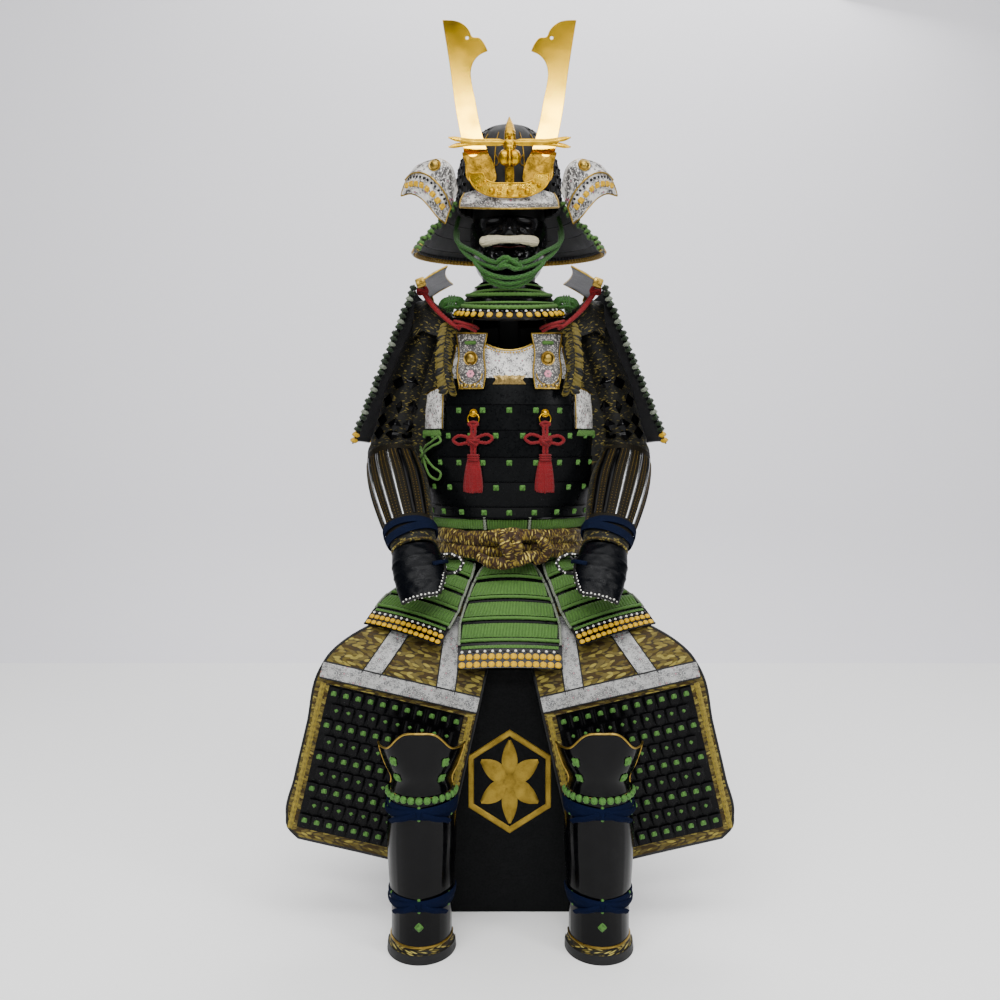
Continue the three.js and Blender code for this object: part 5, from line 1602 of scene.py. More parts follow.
def makeChest():
    us = np.linspace(-chest["reach"], chest["reach"], 61)
    plate = Form()
    plate.sheet(chestFace(*grid(us, np.linspace(0, 1, 15))), thick=2.5)
    plate.piece("chestPlate", "printed", "chest_plate")
    trim, beads = forms(2)
    trim.tube(lineThrough(chestFace(us, 0 * us + 1) - arr(0, 0.6, 0), 90), 2.1, 8)
    face = lambda u, v: chestFace(u, 1 - v * 0.0) - np.stack([0 * u, 0.6 + 0 * u, 5.5 * v], -1)
    spots = evenPlaces(face, -30, 30, 1.0, 30)
    beads.scatter(beadForm(0.8), *rowOn(chestFace, spots, 0.90, 0.6), 2.0)
    beads.piece("necklineBeads", "yellow")

    # a small scalloped brass plate where chest plate and cuirass meet
    relief = Form()
    s, t = grid(np.linspace(-1, 1, 61), np.linspace(0, 1, 13))
    half = 32 - 5.5 * np.abs(np.sin(t * math.pi * 1.0)) ** 1.5
    top = 997.5 - 1.6 * np.abs(np.cos(s * math.pi * 2.5))
    z = 979.5 + (top - 979.5) * t
    x = s * half
    lobes = 1.2 * np.abs(np.sin(s * math.pi * 2.5)) * np.sin(t * math.pi)
    lobes = lobes + 0.8 * np.exp(-(((np.abs(s) - 0.4) / 0.12) ** 2) - ((t - 0.5) / 0.3) ** 2)
    y = -np.sqrt(np.clip(1 - (x / 168) ** 2, 0, 1)) * 118.5 - lobes
    relief.sheet(xyz(x, y, z), thick=1.6)
    relief.piece("chestMount", "darkBrass")

    flap, bars, studs, flower = forms(4)
    S, V = grid(np.linspace(0, 1, 17), np.linspace(chest["flapLow"], chest["flapHigh"], 27))
    tilt = 3.0 * (0.5 - S) * np.clip((V - 1050) / 30, 0, 1)
    at = flapFace(flapIn(V) + (flapOut(V) - flapIn(V)) * S, V - tilt)
    flap.sheet(at, thick=2.4)
    flap.pair("chestFlap", "flapPrinted", "chest_flap")
    ring = np.concatenate([at[0], at[1:-1, -1], at[-1][::-1], at[1:-1, 0][::-1]]) - arr(0, 0.6, 0)
    trimSide = Form()
    trimSide.tube(ring, 1.7, 8, closed=True)
    curl = [
        flapFace(x, z) - arr(0, 1.4, 0)
        for x, z in ((52, 1000), (56, 988), (66, 980), (75, 978), (84, 980), (94, 988), (98, 1000))
    ]
    trimSide.tube(lineThrough(curl, 30), 1.1, 6)
    for x in (58, 67, 76, 85, 92):
        spot = flapFace(np.array([x]), np.array([976.5 + 1.5 * (x % 2)]))
        studs.scatter(beadForm(0.7, 12, 5), spot - arr(0, 0.4, 0), [[1, 0.3, 0]], [[0, 0, 1]], 3.8)
    x, z = chest["studAt"]
    lean = (flapFace(np.array([x + 1.0]), np.array([z])) - flapFace(np.array([x - 1.0]), np.array([z])))
    studs.scatter(
        studForm(32), flapFace(np.array([x]), np.array([z])) - arr(0, 0.2, 0), lean, [[0, 0, 1]],
        chest["studSize"]
    )
    studs.pair("flapStud", "brass")
    x, z, half = chest["barAt"]
    path = [flapFace(x + d, z) - arr(0, 2.0, 0) for d in (-half, -half * 0.8, 0, half * 0.8, half)]
    bars.tube(
        lineThrough(path, 26), np.interp(np.linspace(0, 1, 26), [0, 0.1, 0.9, 1], [1.2, 4.4, 4.4, 1.2]), 12,
        shape=twisted(4, 9, 0.12), flat=0.9, up=(0, 0, 1)
    )
    bars.pair("flapBar", "green")
    x, z = chest["flowerAt"]
    for k in range(6):
        a = math.radians(60 * k + 30)
        spot = flapFace(np.array([x + 4.6 * math.sin(a)]), np.array([z + 4.6 * math.cos(a)])) - arr(0, 0.3, 0)
        flower.scatter(beadForm(0.35, 10, 4), spot, lean, [[0, 0, 1]], 3.1)
    flower.pair("flapFlower", "pink")

    under, edge, lace = forms(3)
    face = lambda u, v: torsoFace(u, 892.6 + (962 + 34 * np.abs(np.cos(np.radians(u))) ** 1.6 - 892.6) * v, 0.6)
    us = np.linspace(49.5, 130.5, 41)
    under.sheet(face(*grid(us, np.linspace(0, 1, 11))), thick=2.5)
    under.pair("underarmPlate", "printed", "underarm_plate")
    edge.tube(lineThrough(face(us, 0 * us + 1), 50), 1.9, 8)
    for end in (49.8, 130.2):
        edge.tube(face(end + 0 * us[:9], np.linspace(0.02, 1, 9)), 1.6, 8)
    edge.pair("underarmRim", "brass")
    laceFace = lambda u, v: torsoFace(u, 880 + 12 * v, lapAt(880 + 12 * v) + 0.4)
    lacedBand(lace, laceFace, (50, 130), 0.0, 1.0, 44, 2.6, 0.6, slant=2.0)
    lace.pair("underarmLacing", "green")
    for u in (-44.4, 44.4):
        trim.tube(chestFace(u + 0 * us[:9], np.linspace(0.02, 0.96, 9)), 1.6, 8)
    trim.add(*trimSide.template())
    trim.add(*trimSide.mirror().template())
    trim.piece("chestRims", "brass")


strap = {
    "line": [
        (-76, 1026), (-74, 1062), (-58, 1096), (-30, 1113), (0, 1117), (30, 1113), (56, 1090), (66, 1060),
        (66, 1026)
    ],
    "from": 74, "to": 120, "thick": 5,
}


def makeStraps():
    pts = np.array([(0, y, z) for y, z in strap["line"]], float)
    line = lineThrough(pts, 60)
    form, edge = forms(2)
    xs = np.linspace(strap["from"], strap["to"], 13)
    X = np.repeat(xs[None], len(line), 0)
    y = line[:, 1:2]
    Y = y - np.sign(y) * np.clip(np.abs(y) / 20, 0, 1) * (X - strap["from"]) / 2
    at = xyz(X, Y, np.repeat(line[:, 2:3], 13, 1) + 1.6 * np.sin(math.pi * (X - 74) / 46))
    form.sheet(at, thick=strap["thick"], out=normalsOf(at))
    form.pair("shoulderStrap", "blackLeather", "shoulder_strap")
    for k in (0, -1):
        edge.tube(at[:, k], 2.4, 10, shape=twisted(3, 8))
    edge.pair("strapEdge", "olive")


redCords = {
    "radius": 3.5,
    "ring": (69, 917),
    "bowHeight": 871, "loopReach": 39, "tasselTop": 846, "tasselLow": 772,
    "shoulder": [(170, -64, 1166), (160, -74, 1150), (140, -88, 1124), (114, -104, 1100), (98, -112, 1088)],
}


def onFront(x, z, lift):
    # a place in front of the cuirass
    wide, deep = torsoWide(z) + lift, torsoDeep(z) + lift
    return arr(x, -deep * math.sqrt(max(0.0, 1 - (x / wide) ** 2)), z)


def makeTassel(middle, lean):
    cords, rings, fringe = forms(3)
    r = redCords["radius"]
    x0, z0 = middle, redCords["ring"][1]
    angle = np.linspace(0, 2 * math.pi, 40, endpoint=False)
    ring = np.array([onFront(x0 + 11 * math.sin(a), z0 + 11 * math.cos(a) - 4, 5.5) for a in angle])
    rings.tube(ring, 1.2, 8, closed=True)
    at = onFront(x0, z0 + 7, 2.5)
    rings.scatter(studForm(24), [at], [[1, 0, 0]], [[0, 0, 1]], 8.0)
    turn = [
        onFront(x0 + dx, z0 + dz, 7)
        for dx, dz in ((-9, -14), (-4, -11), (4, -11), (9, -14), (4, -17), (-4, -17))
    ]
    rope(cords, turn, r, closed=True, sides=10)
    bow = redCords["bowHeight"]
    for dx in (-3, 3):
        rope(cords, [
            onFront(x0 + dx, z0 - 14, 7), onFront(x0 + dx * 1.1, (z0 - 14 + bow) / 2, 7.5),
            onFront(x0 + dx * 0.6, bow + 4, 9)
        ], r, sides=10)
    # the dragonfly-head bow: a plaited middle with an ear out to each side
    for side in (-1, 1):
        reach = redCords["loopReach"] * (1.0 if side < 0 else 0.94)
        loop = [(4, 3), (16, 9), (reach - 8, 10), (reach, 3), (reach - 9, -5), (16, -4), (4, -2)]
        rope(
            cords,
            [onFront(x0 + side * dx, bow + dz + lean * side * dx * 0.05, 8 + 0.05 * dx) for dx, dz in loop], r,
            sides=10
        )
    for k, (a, b) in enumerate((
        ((-9, 8), (9, -8)), ((-9, -8), (9, 8)), ((-12, 0), (12, 1)), ((0, 12), (1, -12)), ((-6, 10), (11, -3)),
        ((6, -10), (-11, 3))
    )):
        lift = 9.5 + 1.8 * (k % 3)
        rope(cords, [
            onFront(x0 + a[0], bow + a[1], 8.5),
            onFront(x0 + (a[0] + b[0]) / 2, bow + (a[1] + b[1]) / 2, lift + 2),
            onFront(x0 + b[0], bow + b[1], 8.5)
        ], r * 0.92, sides=10)
    top, low = redCords["tasselTop"], redCords["tasselLow"]
    for dx in (-3, 3):
        rope(cords, [
            onFront(x0 + dx, bow - 6, 8.5), onFront(x0 + dx, (bow + top) / 2, 8), onFront(x0 + dx, top - 4, 7.5)
        ], r, sides=10)
    for k in range(3):
        a = np.linspace(0, 2 * math.pi, 16, endpoint=False)
        band = [
            onFront(x0 + 10 * math.cos(t), top - 3 - 4.5 * k, 7.5) - arr(0, 4.5 * math.sin(t), 0) for t in a
        ]
        rope(cords, band, 2.6, closed=True, sides=8)
    # silk fringe: strands that spread a little and end unevenly
    count = 90
    for k in range(count):
        layer = k % 3
        s = (k / (count - 1)) * 2 - 1
        spread = s * (19 - 2 * layer) + rng.uniform(-1, 1)
        end = low + rng.uniform(-2.5, 3.5) + 1.5 * abs(s)
        pts = []
        for t in np.linspace(0, 1, 8):
            z = top - 6 + (end - top + 6) * t
            w = s * 9 * (1 - t) ** 0.6 * 0.9 + spread * t**0.75 * 0.95
            pts.append(onFront(
                x0 + w, z, 3.4 + 2.2 * layer + 2.2 * math.sin(math.pi * min(1, t * 1.1)) - 1.2 * abs(s)
            ))
        fringe.tube(np.array(pts), np.linspace(1.25, 1.5, 8), 6)
    return cords, rings, fringe


def makeRedCords():
    for name, x0, lean in (("tasselRight", -redCords["ring"][0], 1), ("tasselLeft", redCords["ring"][0], -1)):
        cords, rings, fringe = makeTassel(x0, lean)
        cords.piece(f"{name}Cord", "red")
        rings.piece(f"{name}Ring", "satinGold")
        fringe.piece(f"{name}Fringe", "redFringe")
    form = Form()
    line = np.array(redCords["shoulder"], float)
    for k, (dx, dz) in enumerate(((-3.2, -1.6), (3.2, 1.6))):
        rope(form, line + arr(dx, -0.5 * k, dz), redCords["radius"] * 1.15, sides=10)
    top = line[0]
    knot = [
        top + arr(*d) for d in ((-6, -4, -8), (-8, -7, 2), (0, -9, 8), (8, -6, 4), (7, -3, -6), (0, -9, -6))
    ]
    rope(form, knot, redCords["radius"] * 1.15, closed=True, sides=10)
    rope(
        form, [top + arr(*d) for d in ((-9, -6, -4), (-2, -12, -1), (8, -7, 0))], redCords["radius"] * 1.15,
        sides=10
    )
    low = line[-1]
    rope(
        form, [low + arr(*d) for d in ((8, 6, 14), (2, -1, 12), (-14, -4, 8), (-30, -1, 4), (-38, 8, 0))],
        redCords["radius"], sides=10
    )
    rope(
        form, [low + arr(*d) for d in ((6, 2, 4), (-6, -3, 4), (-20, -3, 0), (-34, 6, -6))], redCords["radius"],
        sides=10
    )
    form.pair("shoulderCord", "red")


sideTie = {
    "radius": 2.6,
    # the bow and cord on the wearer's right flank: bearing, height and lift from the cuirass
    "bow": [
        [
            (-73, 846, 8), (-66, 858, 12), (-56, 868, 14), (-48, 878, 12), (-46, 872, 14), (-54, 860, 16),
            (-64, 850, 13), (-72, 842, 9)
        ],
        [
            (-73, 846, 8), (-64, 838, 13), (-54, 820, 15), (-47, 806, 13), (-49, 796, 13), (-57, 800, 14),
            (-66, 822, 12), (-73, 842, 9)
        ],
        [(-73, 846, 8), (-82, 862, 10), (-92, 882, 8)], [(-73, 844, 9), (-84, 838, 11), (-94, 828, 8)],
        [(-73, 842, 9), (-80, 815, 10), (-83, 780, 8), (-82, 750, 7), (-74, 724, 7)],
        [(-77, 850, 10), (-72, 852, 15), (-68, 846, 15), (-72, 838, 14), (-77, 842, 11)],
    ],
}


def makeSideTie():
    form = Form()
    for line in sideTie["bow"]:
        rope(form, [torsoFace(u, z, lift) for u, z, lift in line], sideTie["radius"], sides=10)
    form.piece("sideTie", "green", slot="green_cord")


bundle = {"at": (112, -62, 1142), "loops": 5}


def makeBundles():
    # folded flat braid lying on each shoulder
    form = Form()
    cx, cy, cz = bundle["at"]
    for k in range(bundle["loops"]):
        wide, tall = 22 - 2.0 * k, 10 - 0.8 * k
        lift = k * 3.4
        pts = [
            (-wide, -2, -4), (-wide * 0.8, -5, tall * 0.8), (0, -6, tall), (wide * 0.8, -4, tall * 0.5),
            (wide, 0, -5), (0, -8, -tall * 0.5)
        ]
        form.tube(
            lineThrough([(cx + x, cy - lift + y, cz + z - k * 1.5) for x, y, z in pts], 44, closed=True), 6.6,
            10, closed=True, shape=braided(6, 0.15), flat=0.45, up=(0, 0.2, 1)
        )
    for k in range(3):
        pts = [(-4 + 5 * k, -4, 12), (-6 + 5 * k, -20, 4), (-3 + 5 * k, -19, -10), (0 + 5 * k, -4, -16)]
        form.tube(
            lineThrough([(cx + x, cy + y, cz + z) for x, y, z in pts], 22), 5.2, 10, shape=braided(6, 0.15),
            flat=0.5, up=(1, 0, 0)
        )
    form.pair("shoulderBraid", "deepGreen")


yoke = {
    # cloth over each shoulder from the collar to the sleeve: how far along, how high its ridge and how deep
    "rows": [(84, 1112, 58), (110, 1128, 56), (140, 1146, 54), (168, 1158, 52), (190, 1150, 48)],
}


def makeYokes():
    ridge, deep = columns(yoke["rows"], "ridge", "deep")
    form = Form()
    X, T = grid(np.linspace(84, 190, 25), np.linspace(-1, 1, 33))
    y = deep(X) * 1.32 * np.sin(T * 1.35)
    z = ridge(X) - 92 * (1 - np.cos(T * 1.35)) + 1.6 * np.sin(X * 0.21 + 3 * T)
    at = xyz(X, y, z)
    form.sheet(at, thick=2)
    form.pair("sleeveYoke", "darkBrocade")


def makeGussets():
    # dark cloth closing the space between each sleeve and the cuirass
    form = Form()
    Z, T = np.meshgrid(np.linspace(772, 1090, 25), np.linspace(0, 1, 7), indexing="ij")
    outer_ = curveThrough([772, 838, 895, 985, 1090], [176, 198, 200, 196, 172])(Z)
    inner_ = np.minimum(torsoWide(Z) * 0.955, np.interp(Z, [772, 950, 985, 1090], [300, 165, 112, 100]))
    at = xyz(inner_ + (outer_ - inner_) * T, -26 + 4 * np.sin(Z * 0.05 + 4 * T), Z)
    form.sheet(at, thick=2)
    form.pair("sleeveGusset", "darkBrocade")


makeTrunk()
makeGussets()
makeChest()
makeYokes()
makeStraps()
makeRedCords()
makeSideTie()
makeBundles()
print("cuirass is made")

# waist lacing, belt and the seven hanging panels

waist = {"low": 700, "high": 724, "braids": [-17.5, 14.5, 82, -84, 165, -165, 120, -122]}


def makeWaist():
    form, ear = forms(2)
    face = lambda u, v: around(
        torsoWide(716) - 2 - 6 * (1 - v), torsoDeep(716) - 2 - 6 * (1 - v), u,
        waist["low"] + (waist["high"] - waist["low"]) * v
    )
    spots = sorted(waist["braids"])
    spots = spots + [spots[0] + 360]
    for a, b in zip(spots[:-1], spots[1:]):
        count = max(4, int(math.radians(b - a) * 140 / 5.0))
        lacedBand(form, face, (a + 1.5, b - 1.5), 0.0, 1.0, count, 2.6, 0.8)
    form.piece("waistLacing", "green")
    for a in waist["braids"]:
        rope(ear, [rowOn(face, [a], v, 3.0)[0][0] for v in (0.0, 0.3, 0.6, 1.0)], 3.2, sides=10)
    ear.piece("waistEarBraids", "fleck")


belt = {
    "rolls": [(658, 15, 13), (684, 16, 13)], "wide": 150, "deep": 117,
    "knot": [
        [(-46, -134, 690), (-20, -146, 688), (14, -150, 690), (44, -142, 694), (66, -132, 690)],
        [(-60, -134, 650), (-30, -150, 640), (10, -152, 644), (40, -148, 652), (62, -134, 656)],
        [(40, -140, 698), (62, -146, 682), (72, -146, 664), (64, -142, 648), (46, -140, 640)],
        [(-14, -146, 700), (-10, -158, 684), (-2, -160, 660), (6, -152, 634)],
        [(6, -148, 700), (14, -158, 682), (16, -158, 658), (20, -150, 638)],
    ],
    "knotSize": [12, 13, 10, 12, 10],
}


def makeBelt():
    # two fat twisted rolls of brocade round the waist, wrung into a knot in front
    form = Form()
    us = np.arange(0, 360, 2.0)
    fold = lambda turns, depth: (
        lambda a, s: 1 - depth + depth * np.abs(np.cos(1.5 * a + turns * s)) ** 0.7
        + 0.04 * np.sin(5 * a - 0.05 * s)
    )
    for k, (z, tall, thick) in enumerate(belt["rolls"]):
        sway = 2.2 * np.sin(np.radians(us * 3 + 40 * k)) + 1.4 * np.sin(np.radians(us * 7 + 90 * k))
        path = around(belt["wide"] - 4 + 0.5 * sway, belt["deep"] - 3 + 0.5 * sway, us, z + sway)
        radius = tall * (1 + 0.07 * np.sin(np.radians(us * 5 + 60 * k)))
        form.tube(
            path, radius, 28, closed=True, shape=fold(0.055 if k else -0.05, 0.16), flat=thick / tall,
            up=(1, 0.2, 0)
        )
    rolls = form.piece("beltRolls", "beltBrocade", "belt", crease=60)
    knot = Form()
    for line, size in zip(belt["knot"], belt["knotSize"]):
        count = 36
        taper = 0.62 + 0.38 * np.sin(np.linspace(0.15, math.pi - 0.15, count))
        knot.tube(lineThrough(line, count), size * taper, 24, shape=fold(0.1, 0.18), flat=0.72, up=(0, 1, 0.1))
    knot.piece("beltKnot", "beltBrocade", crease=60)


tasset = {
    # bearing round the waist, where its low edge hangs, its half width, yaw and roll
    "panels": [
        ("Front", "tasset_front", 0, (0, -270, 470), 94, 0, 0),
        ("FrontLeft", "tasset_front_left", 47, (196, -236, 526), 76, -18, 12),
        ("SideLeft", "tasset_side_left", 103, (232, -10, 545), 84, -88, 0),
        ("BackLeft", "tasset_back_left", 153, (102, 236, 500), 84, -166, 0),
        ("BackRight", "tasset_back_right", 207, (-102, 236, 500), 84, 166, 0),
        ("SideRight", "tasset_side_right", 257, (-232, -10, 545), 84, 88, 0),
        ("FrontRight", "tasset_front_right", 313, (-196, -236, 526), 76, 18, -12),
    ],
    "start": 636, "in": 26, "half": 40, "bulge": (11, 5),
    # height, in from the edge, half width
    "top": [(636, 26, 40), (655, 32, 40), (690, 30, 40), (703, 21, 43), (716, 2, 48)],
    "lames": 5, "step": 3, "strand": 6.2, "knots": 14,
}


def panelFace(bearing, end, half, yaw, roll):
    # u runs across the panel from -1 to 1 and v up it from its low edge at 0
    outward, topAcross = around(1, 1, bearing, 0), around(1, 1, bearing + 90, 0)
    endAcross = unit(arr(
        math.cos(math.radians(yaw)), -math.sin(math.radians(yaw)), math.tan(math.radians(roll))
    ))
    start = around(160 - tasset["in"], 117 - tasset["in"], bearing, tasset["start"])
    slope = unit(arr(*end) - start)

    def face(u, v, lift=0.0):
        u, v, lift = (np.asarray(a, float)[..., None] for a in np.broadcast_arrays(u, v, lift))
        share = 1 - v
        turn = np.clip(share * 1.4, 0, 1)
        across = unit(topAcross * (1 - turn) + endAcross * turn)
        middle = start * (1 - share) + arr(*end) * share + outward * 10 * np.sin(np.clip(share, 0, 1) * math.pi)
        wide = tasset["half"] + (half - tasset["half"]) * np.clip(share * 1.7, 0, 1) ** 0.55
        out = unit(np.cross(slope, across))
        bulge = tasset["bulge"][0] * (1 - share) + tasset["bulge"][1] * share
        return middle + across * u * wide + out * (lift - bulge * u**2)

    return face


def topFace(bearing):
    rows = tasset["top"]
    inset, half = columns(rows, "in", "half")

    def face(u, z, lift=0.0):
        wide, deep = 160 - inset(z) + lift, 117 - inset(z) + lift
        rate = np.hypot(wide * math.cos(math.radians(bearing)), deep * math.sin(math.radians(bearing)))
        return around(wide, deep, bearing + np.degrees(u * half(z) / rate), z)

    return face


def makeTasset(name, node, bearing, end, half, yaw, roll):
    face, top = panelFace(bearing, end, half, yaw, roll), topFace(bearing)
    lames, step = tasset["lames"], tasset["step"]
    us = np.linspace(-1, 1, 17)
    plates, lace, ear, knots, white, black = forms(6)
    for i in range(lames):
        # each lame laps out over the one above it
        v1, v0 = 1 - (i + 0.04) / lames, 1 - (i + 1) / lames
        vs = np.linspace(v0, v1, 5)
        over = lambda u, v: face(u, v, 0.4 + (step - 0.4) * (v - v0) / (v1 - v0))
        plates.sheet(over(*grid(us, vs)), thick=2.4)
        low = over(us, 0 * us + v0 + 0.004)
        plates.tube(lineThrough(low, 40), 1.5, 8)
        count = max(
            8, int(2 * min(half, 40 + (half - 40) * min(1, (i + 0.5) / lames * 1.7) ** 0.7) / tasset["strand"])
        )
        tall = v1 - v0
        last = i == lames - 1
        if not last:
            lacedBand(
                lace, over, (-0.93, 0.93), v0 + 0.38 * tall, v0 + 1.02 * tall, count, 2.6, 0.5, rows=5,
                slant=0.6
            )
            line = rowOn(over, np.linspace(-0.95, 0.95, 24), v0 + 0.25 * tall, 1.8)[0]
            rope(lace, line, 3.5, step=2.7, braid=False)
        else:
            lacedBand(lace, over, (-0.93, 0.93), v0 + 0.88 * tall, v0 + 1.02 * tall, count, 2.0, 0.5, rows=5)
            spots = (np.arange(tasset["knots"]) + 0.5) / tasset["knots"] * 1.96 - 0.98
            for v in (0.15, 0.50):
                knots.scatter(
                    beadForm(0.62, 12, 5), *rowOn(over, spots, v0 + v * tall, 0.4),
                    0.94 * half / tasset["knots"]
                )
            spots = (np.arange(26) + 0.5) / 13 * 0.95 - 0.95
            beadRow(white, black, rowOn(over, spots, v0 + 0.75 * tall, 0.6), 2.6)
        for side in (-0.97, 0.97):
            if not last:
                rope(
                    ear, [rowOn(over, [side], v0 + f * tall, 1.8)[0][0] for f in (0.06, 0.4, 0.7, 1.02)], 2.7,
                    sides=8
                )
    zs = np.array([row[0] for row in tasset["top"]], float)
    zs = np.concatenate([zs[:1] - 2, zs])
    plates.sheet(top(*grid(us, zs), -0.5), thick=2)
    lacedBand(lace, top, (-0.96, 0.96), 636, 715, 16, 1.8, 0.2, rows=9)
    lace.piece(f"tasset{name}Lacing", "green", node)
    plates.piece(f"tasset{name}Lames", "lacquer")
    ear.piece(f"tasset{name}EarBraid", "fleck")
    knots.piece(f"tasset{name}Knots", "yellow")
    white.piece(f"tasset{name}WhiteBeads", "whiteBead")
    black.piece(f"tasset{name}BlackBeads", "blackBead")


makeWaist()
makeBelt()
for row in tasset["panels"]:
    makeTasset(*row)
print("belt and tassets are made")

# shoulder guards, sleeves and hand guards

shoulder = {
    "top": (180, 1172), "low": (301, 866), "front": -112, "back": 132, "lames": 7, "step": 3, "curve": 10,
    "strand": 7.0, "knots": 22,
}


def shoulderFace(u, v, lift=0.0):
    # u runs from the front edge at -1 to the back edge at 1, v up from the low edge
    (x1, z1), (x0, z0) = shoulder["top"], shoulder["low"]
    length = math.hypot(x0 - x1, z1 - z0)
    u, v, lift = (np.asarray(a, float) for a in np.broadcast_arrays(u, v, lift))
    off = lift + shoulder["curve"] * (1 - u**2)
    y = shoulder["front"] + (shoulder["back"] - shoulder["front"]) * (u + 1) / 2
    return xyz(x0 + (x1 - x0) * v + off * (z1 - z0) / length, y, z0 + (z1 - z0) * v + off * (x0 - x1) / length)


def squareBlock(form, at, half, corner):
    # a cushion-edged block
    u, v = grid(np.arange(24) * 15.0, np.linspace(-88, 88, 13))
    soft = lambda a: np.sign(a) * np.abs(a) ** corner
    cu, su, cv, sv = (soft(f(np.radians(a))) for f, a in ((np.cos, u), (np.sin, u), (np.cos, v), (np.sin, v)))
    turn = 0.35
    x, z = half[0] * cv * su, half[2] * sv
    x, z = x * math.cos(turn) + z * math.sin(turn), z * math.cos(turn) - x * math.sin(turn)
    form.sheet(xyz(at[0] + x, at[1] - half[1] * cv * cu, at[2] + z), ring=True)


def makeShoulderGuards():
    plates, lace, edge, dark, knots, under = forms(6)
    us, n = np.linspace(-1, 1, 25), shoulder["lames"]
    for i in range(n):
        v1, v0 = 1 - (i + 0.03) / n, 1 - (i + 1) / n
        tall = v1 - v0
        U, V = grid(us, np.linspace(v0, v1, 5))
        over = lambda u, v: shoulderFace(u, v, 0.4 + shoulder["step"] * (v - v0) / tall)
        plates.sheet(over(U, V), thick=2.4)
        plates.tube(lineThrough(over(us, 0 * us + v0), 50), 1.6, 8)
        last = i == n - 1
        count = int(244 / shoulder["strand"])
        if not last:
            lacedBand(
                lace, over, (-0.94, 0.94), v0 + 0.36 * tall, v0 + 1.02 * tall, count, 2.4, 0.5, rows=5,
                slant=0.6
            )
            line = rowOn(over, np.linspace(-0.96, 0.96, 24), v0 + 0.22 * tall, 1.6)[0]
            rope(lace, line, 3.0, step=3.2)
        else:
            lacedBand(lace, over, (-0.94, 0.94), v0 + 0.62 * tall, v0 + 1.02 * tall, count, 2.2, 0.5, rows=5)
            spots = (np.arange(shoulder["knots"]) + 0.5) / shoulder["knots"] * 1.98 - 0.99
            for v in (0.12, 0.4):
                knots.scatter(beadForm(0.62, 12, 5), *rowOn(over, spots, v0 + v * tall, 0.4), 5.2)
        # lacing carried round both ends and showing inside as rows of stitches
        for side in (-1, 1):
            for k, f in enumerate((0.12, 0.37, 0.62, 0.87)):
                outer_ = rowOn(over, [side * 0.93], v0 + f * tall, 2.6)[0][0]
                tip = rowOn(over, [side * 1.012], v0 + f * tall, -0.8)[0][0]
                inner_ = rowOn(over, [side * 0.94], v0 + f * tall, -4.6)[0][0]
                form = knots if last and k < 2 else (dark if k == 1 else edge)
                rope(form, [outer_, tip, inner_], 4.8, sides=8)
        spots = np.linspace(-0.88, 0.88, 13)
        at, right, up = rowOn(over, spots, v0 + (0.5 if not last else 0.3) * tall, -2.5)
        (under if not last else knots).scatter(pillowForm(1.0, 0.5, 0.25), at, -right, up, 4.4)
    U, V = grid(us, np.linspace(0.004, 0.99, 15))
    facing = shoulderFace(U, V, -2.7 - 0.6 * np.abs(np.sin(V * math.pi * n)))[:, ::-1]
    backing = Form()
    backing.sheet(facing, thick=-0.3)
    backing.pair("shoulderBacking", "darkCloth")
    plates.pair("shoulderGuard", "satinLacquer", "shoulder_guard")
    lace.pair("shoulderLacing", "green")
    edge.pair("shoulderEdgeLacing", "edgeSilk")
    dark.pair("shoulderEdgeKnots", "fleck", slot="brocade")
    knots.pair("shoulderKnots", "yellow")
    under.pair("shoulderInnerStitches", "deepGreen", slot="green_lacing")

    cap, rim, clasp = forms(3)
    front, back = shoulder["front"] + 6, shoulder["back"] - 6
    capFace = lambda u, v: xyz(
        181 + (130 - 181) * v - 10 * u**2, front + (back - front) * (u + 1) / 2,
        1176 + 32 * np.clip(v, 0, 1) ** 0.8
    )
    U, V = grid(np.linspace(-1, 1, 31), np.linspace(0, 1, 11) ** 1.5)
    at = capFace(U, V)
    cap.sheet(at + normalsOf(at) * (2.5 * np.sin(math.pi * V))[..., None], thick=2.4)
    cap.pair("shoulderCap", "greyLeather", "shoulder_cap")
    rim.tube(np.concatenate([at[:, 0], at[-1, 1:], at[::-1, -1][1:]]), 1.9, 8)
    rim.pair("shoulderCapRim", "brass")
    for y in (front, back):
        cx, cz = 171, 1176
        for dx, dz, half, out_ in ((0, 0, 9.5, 0), (-4, 3, 4.6, 7), (5, -2, 3.6, 7)):
            squareBlock(clasp, (cx + dx, y + math.copysign(out_, y), cz + dz), (half, half * 0.7, half), 0.35)
    clasp.pair("shoulderClasp", "brass")


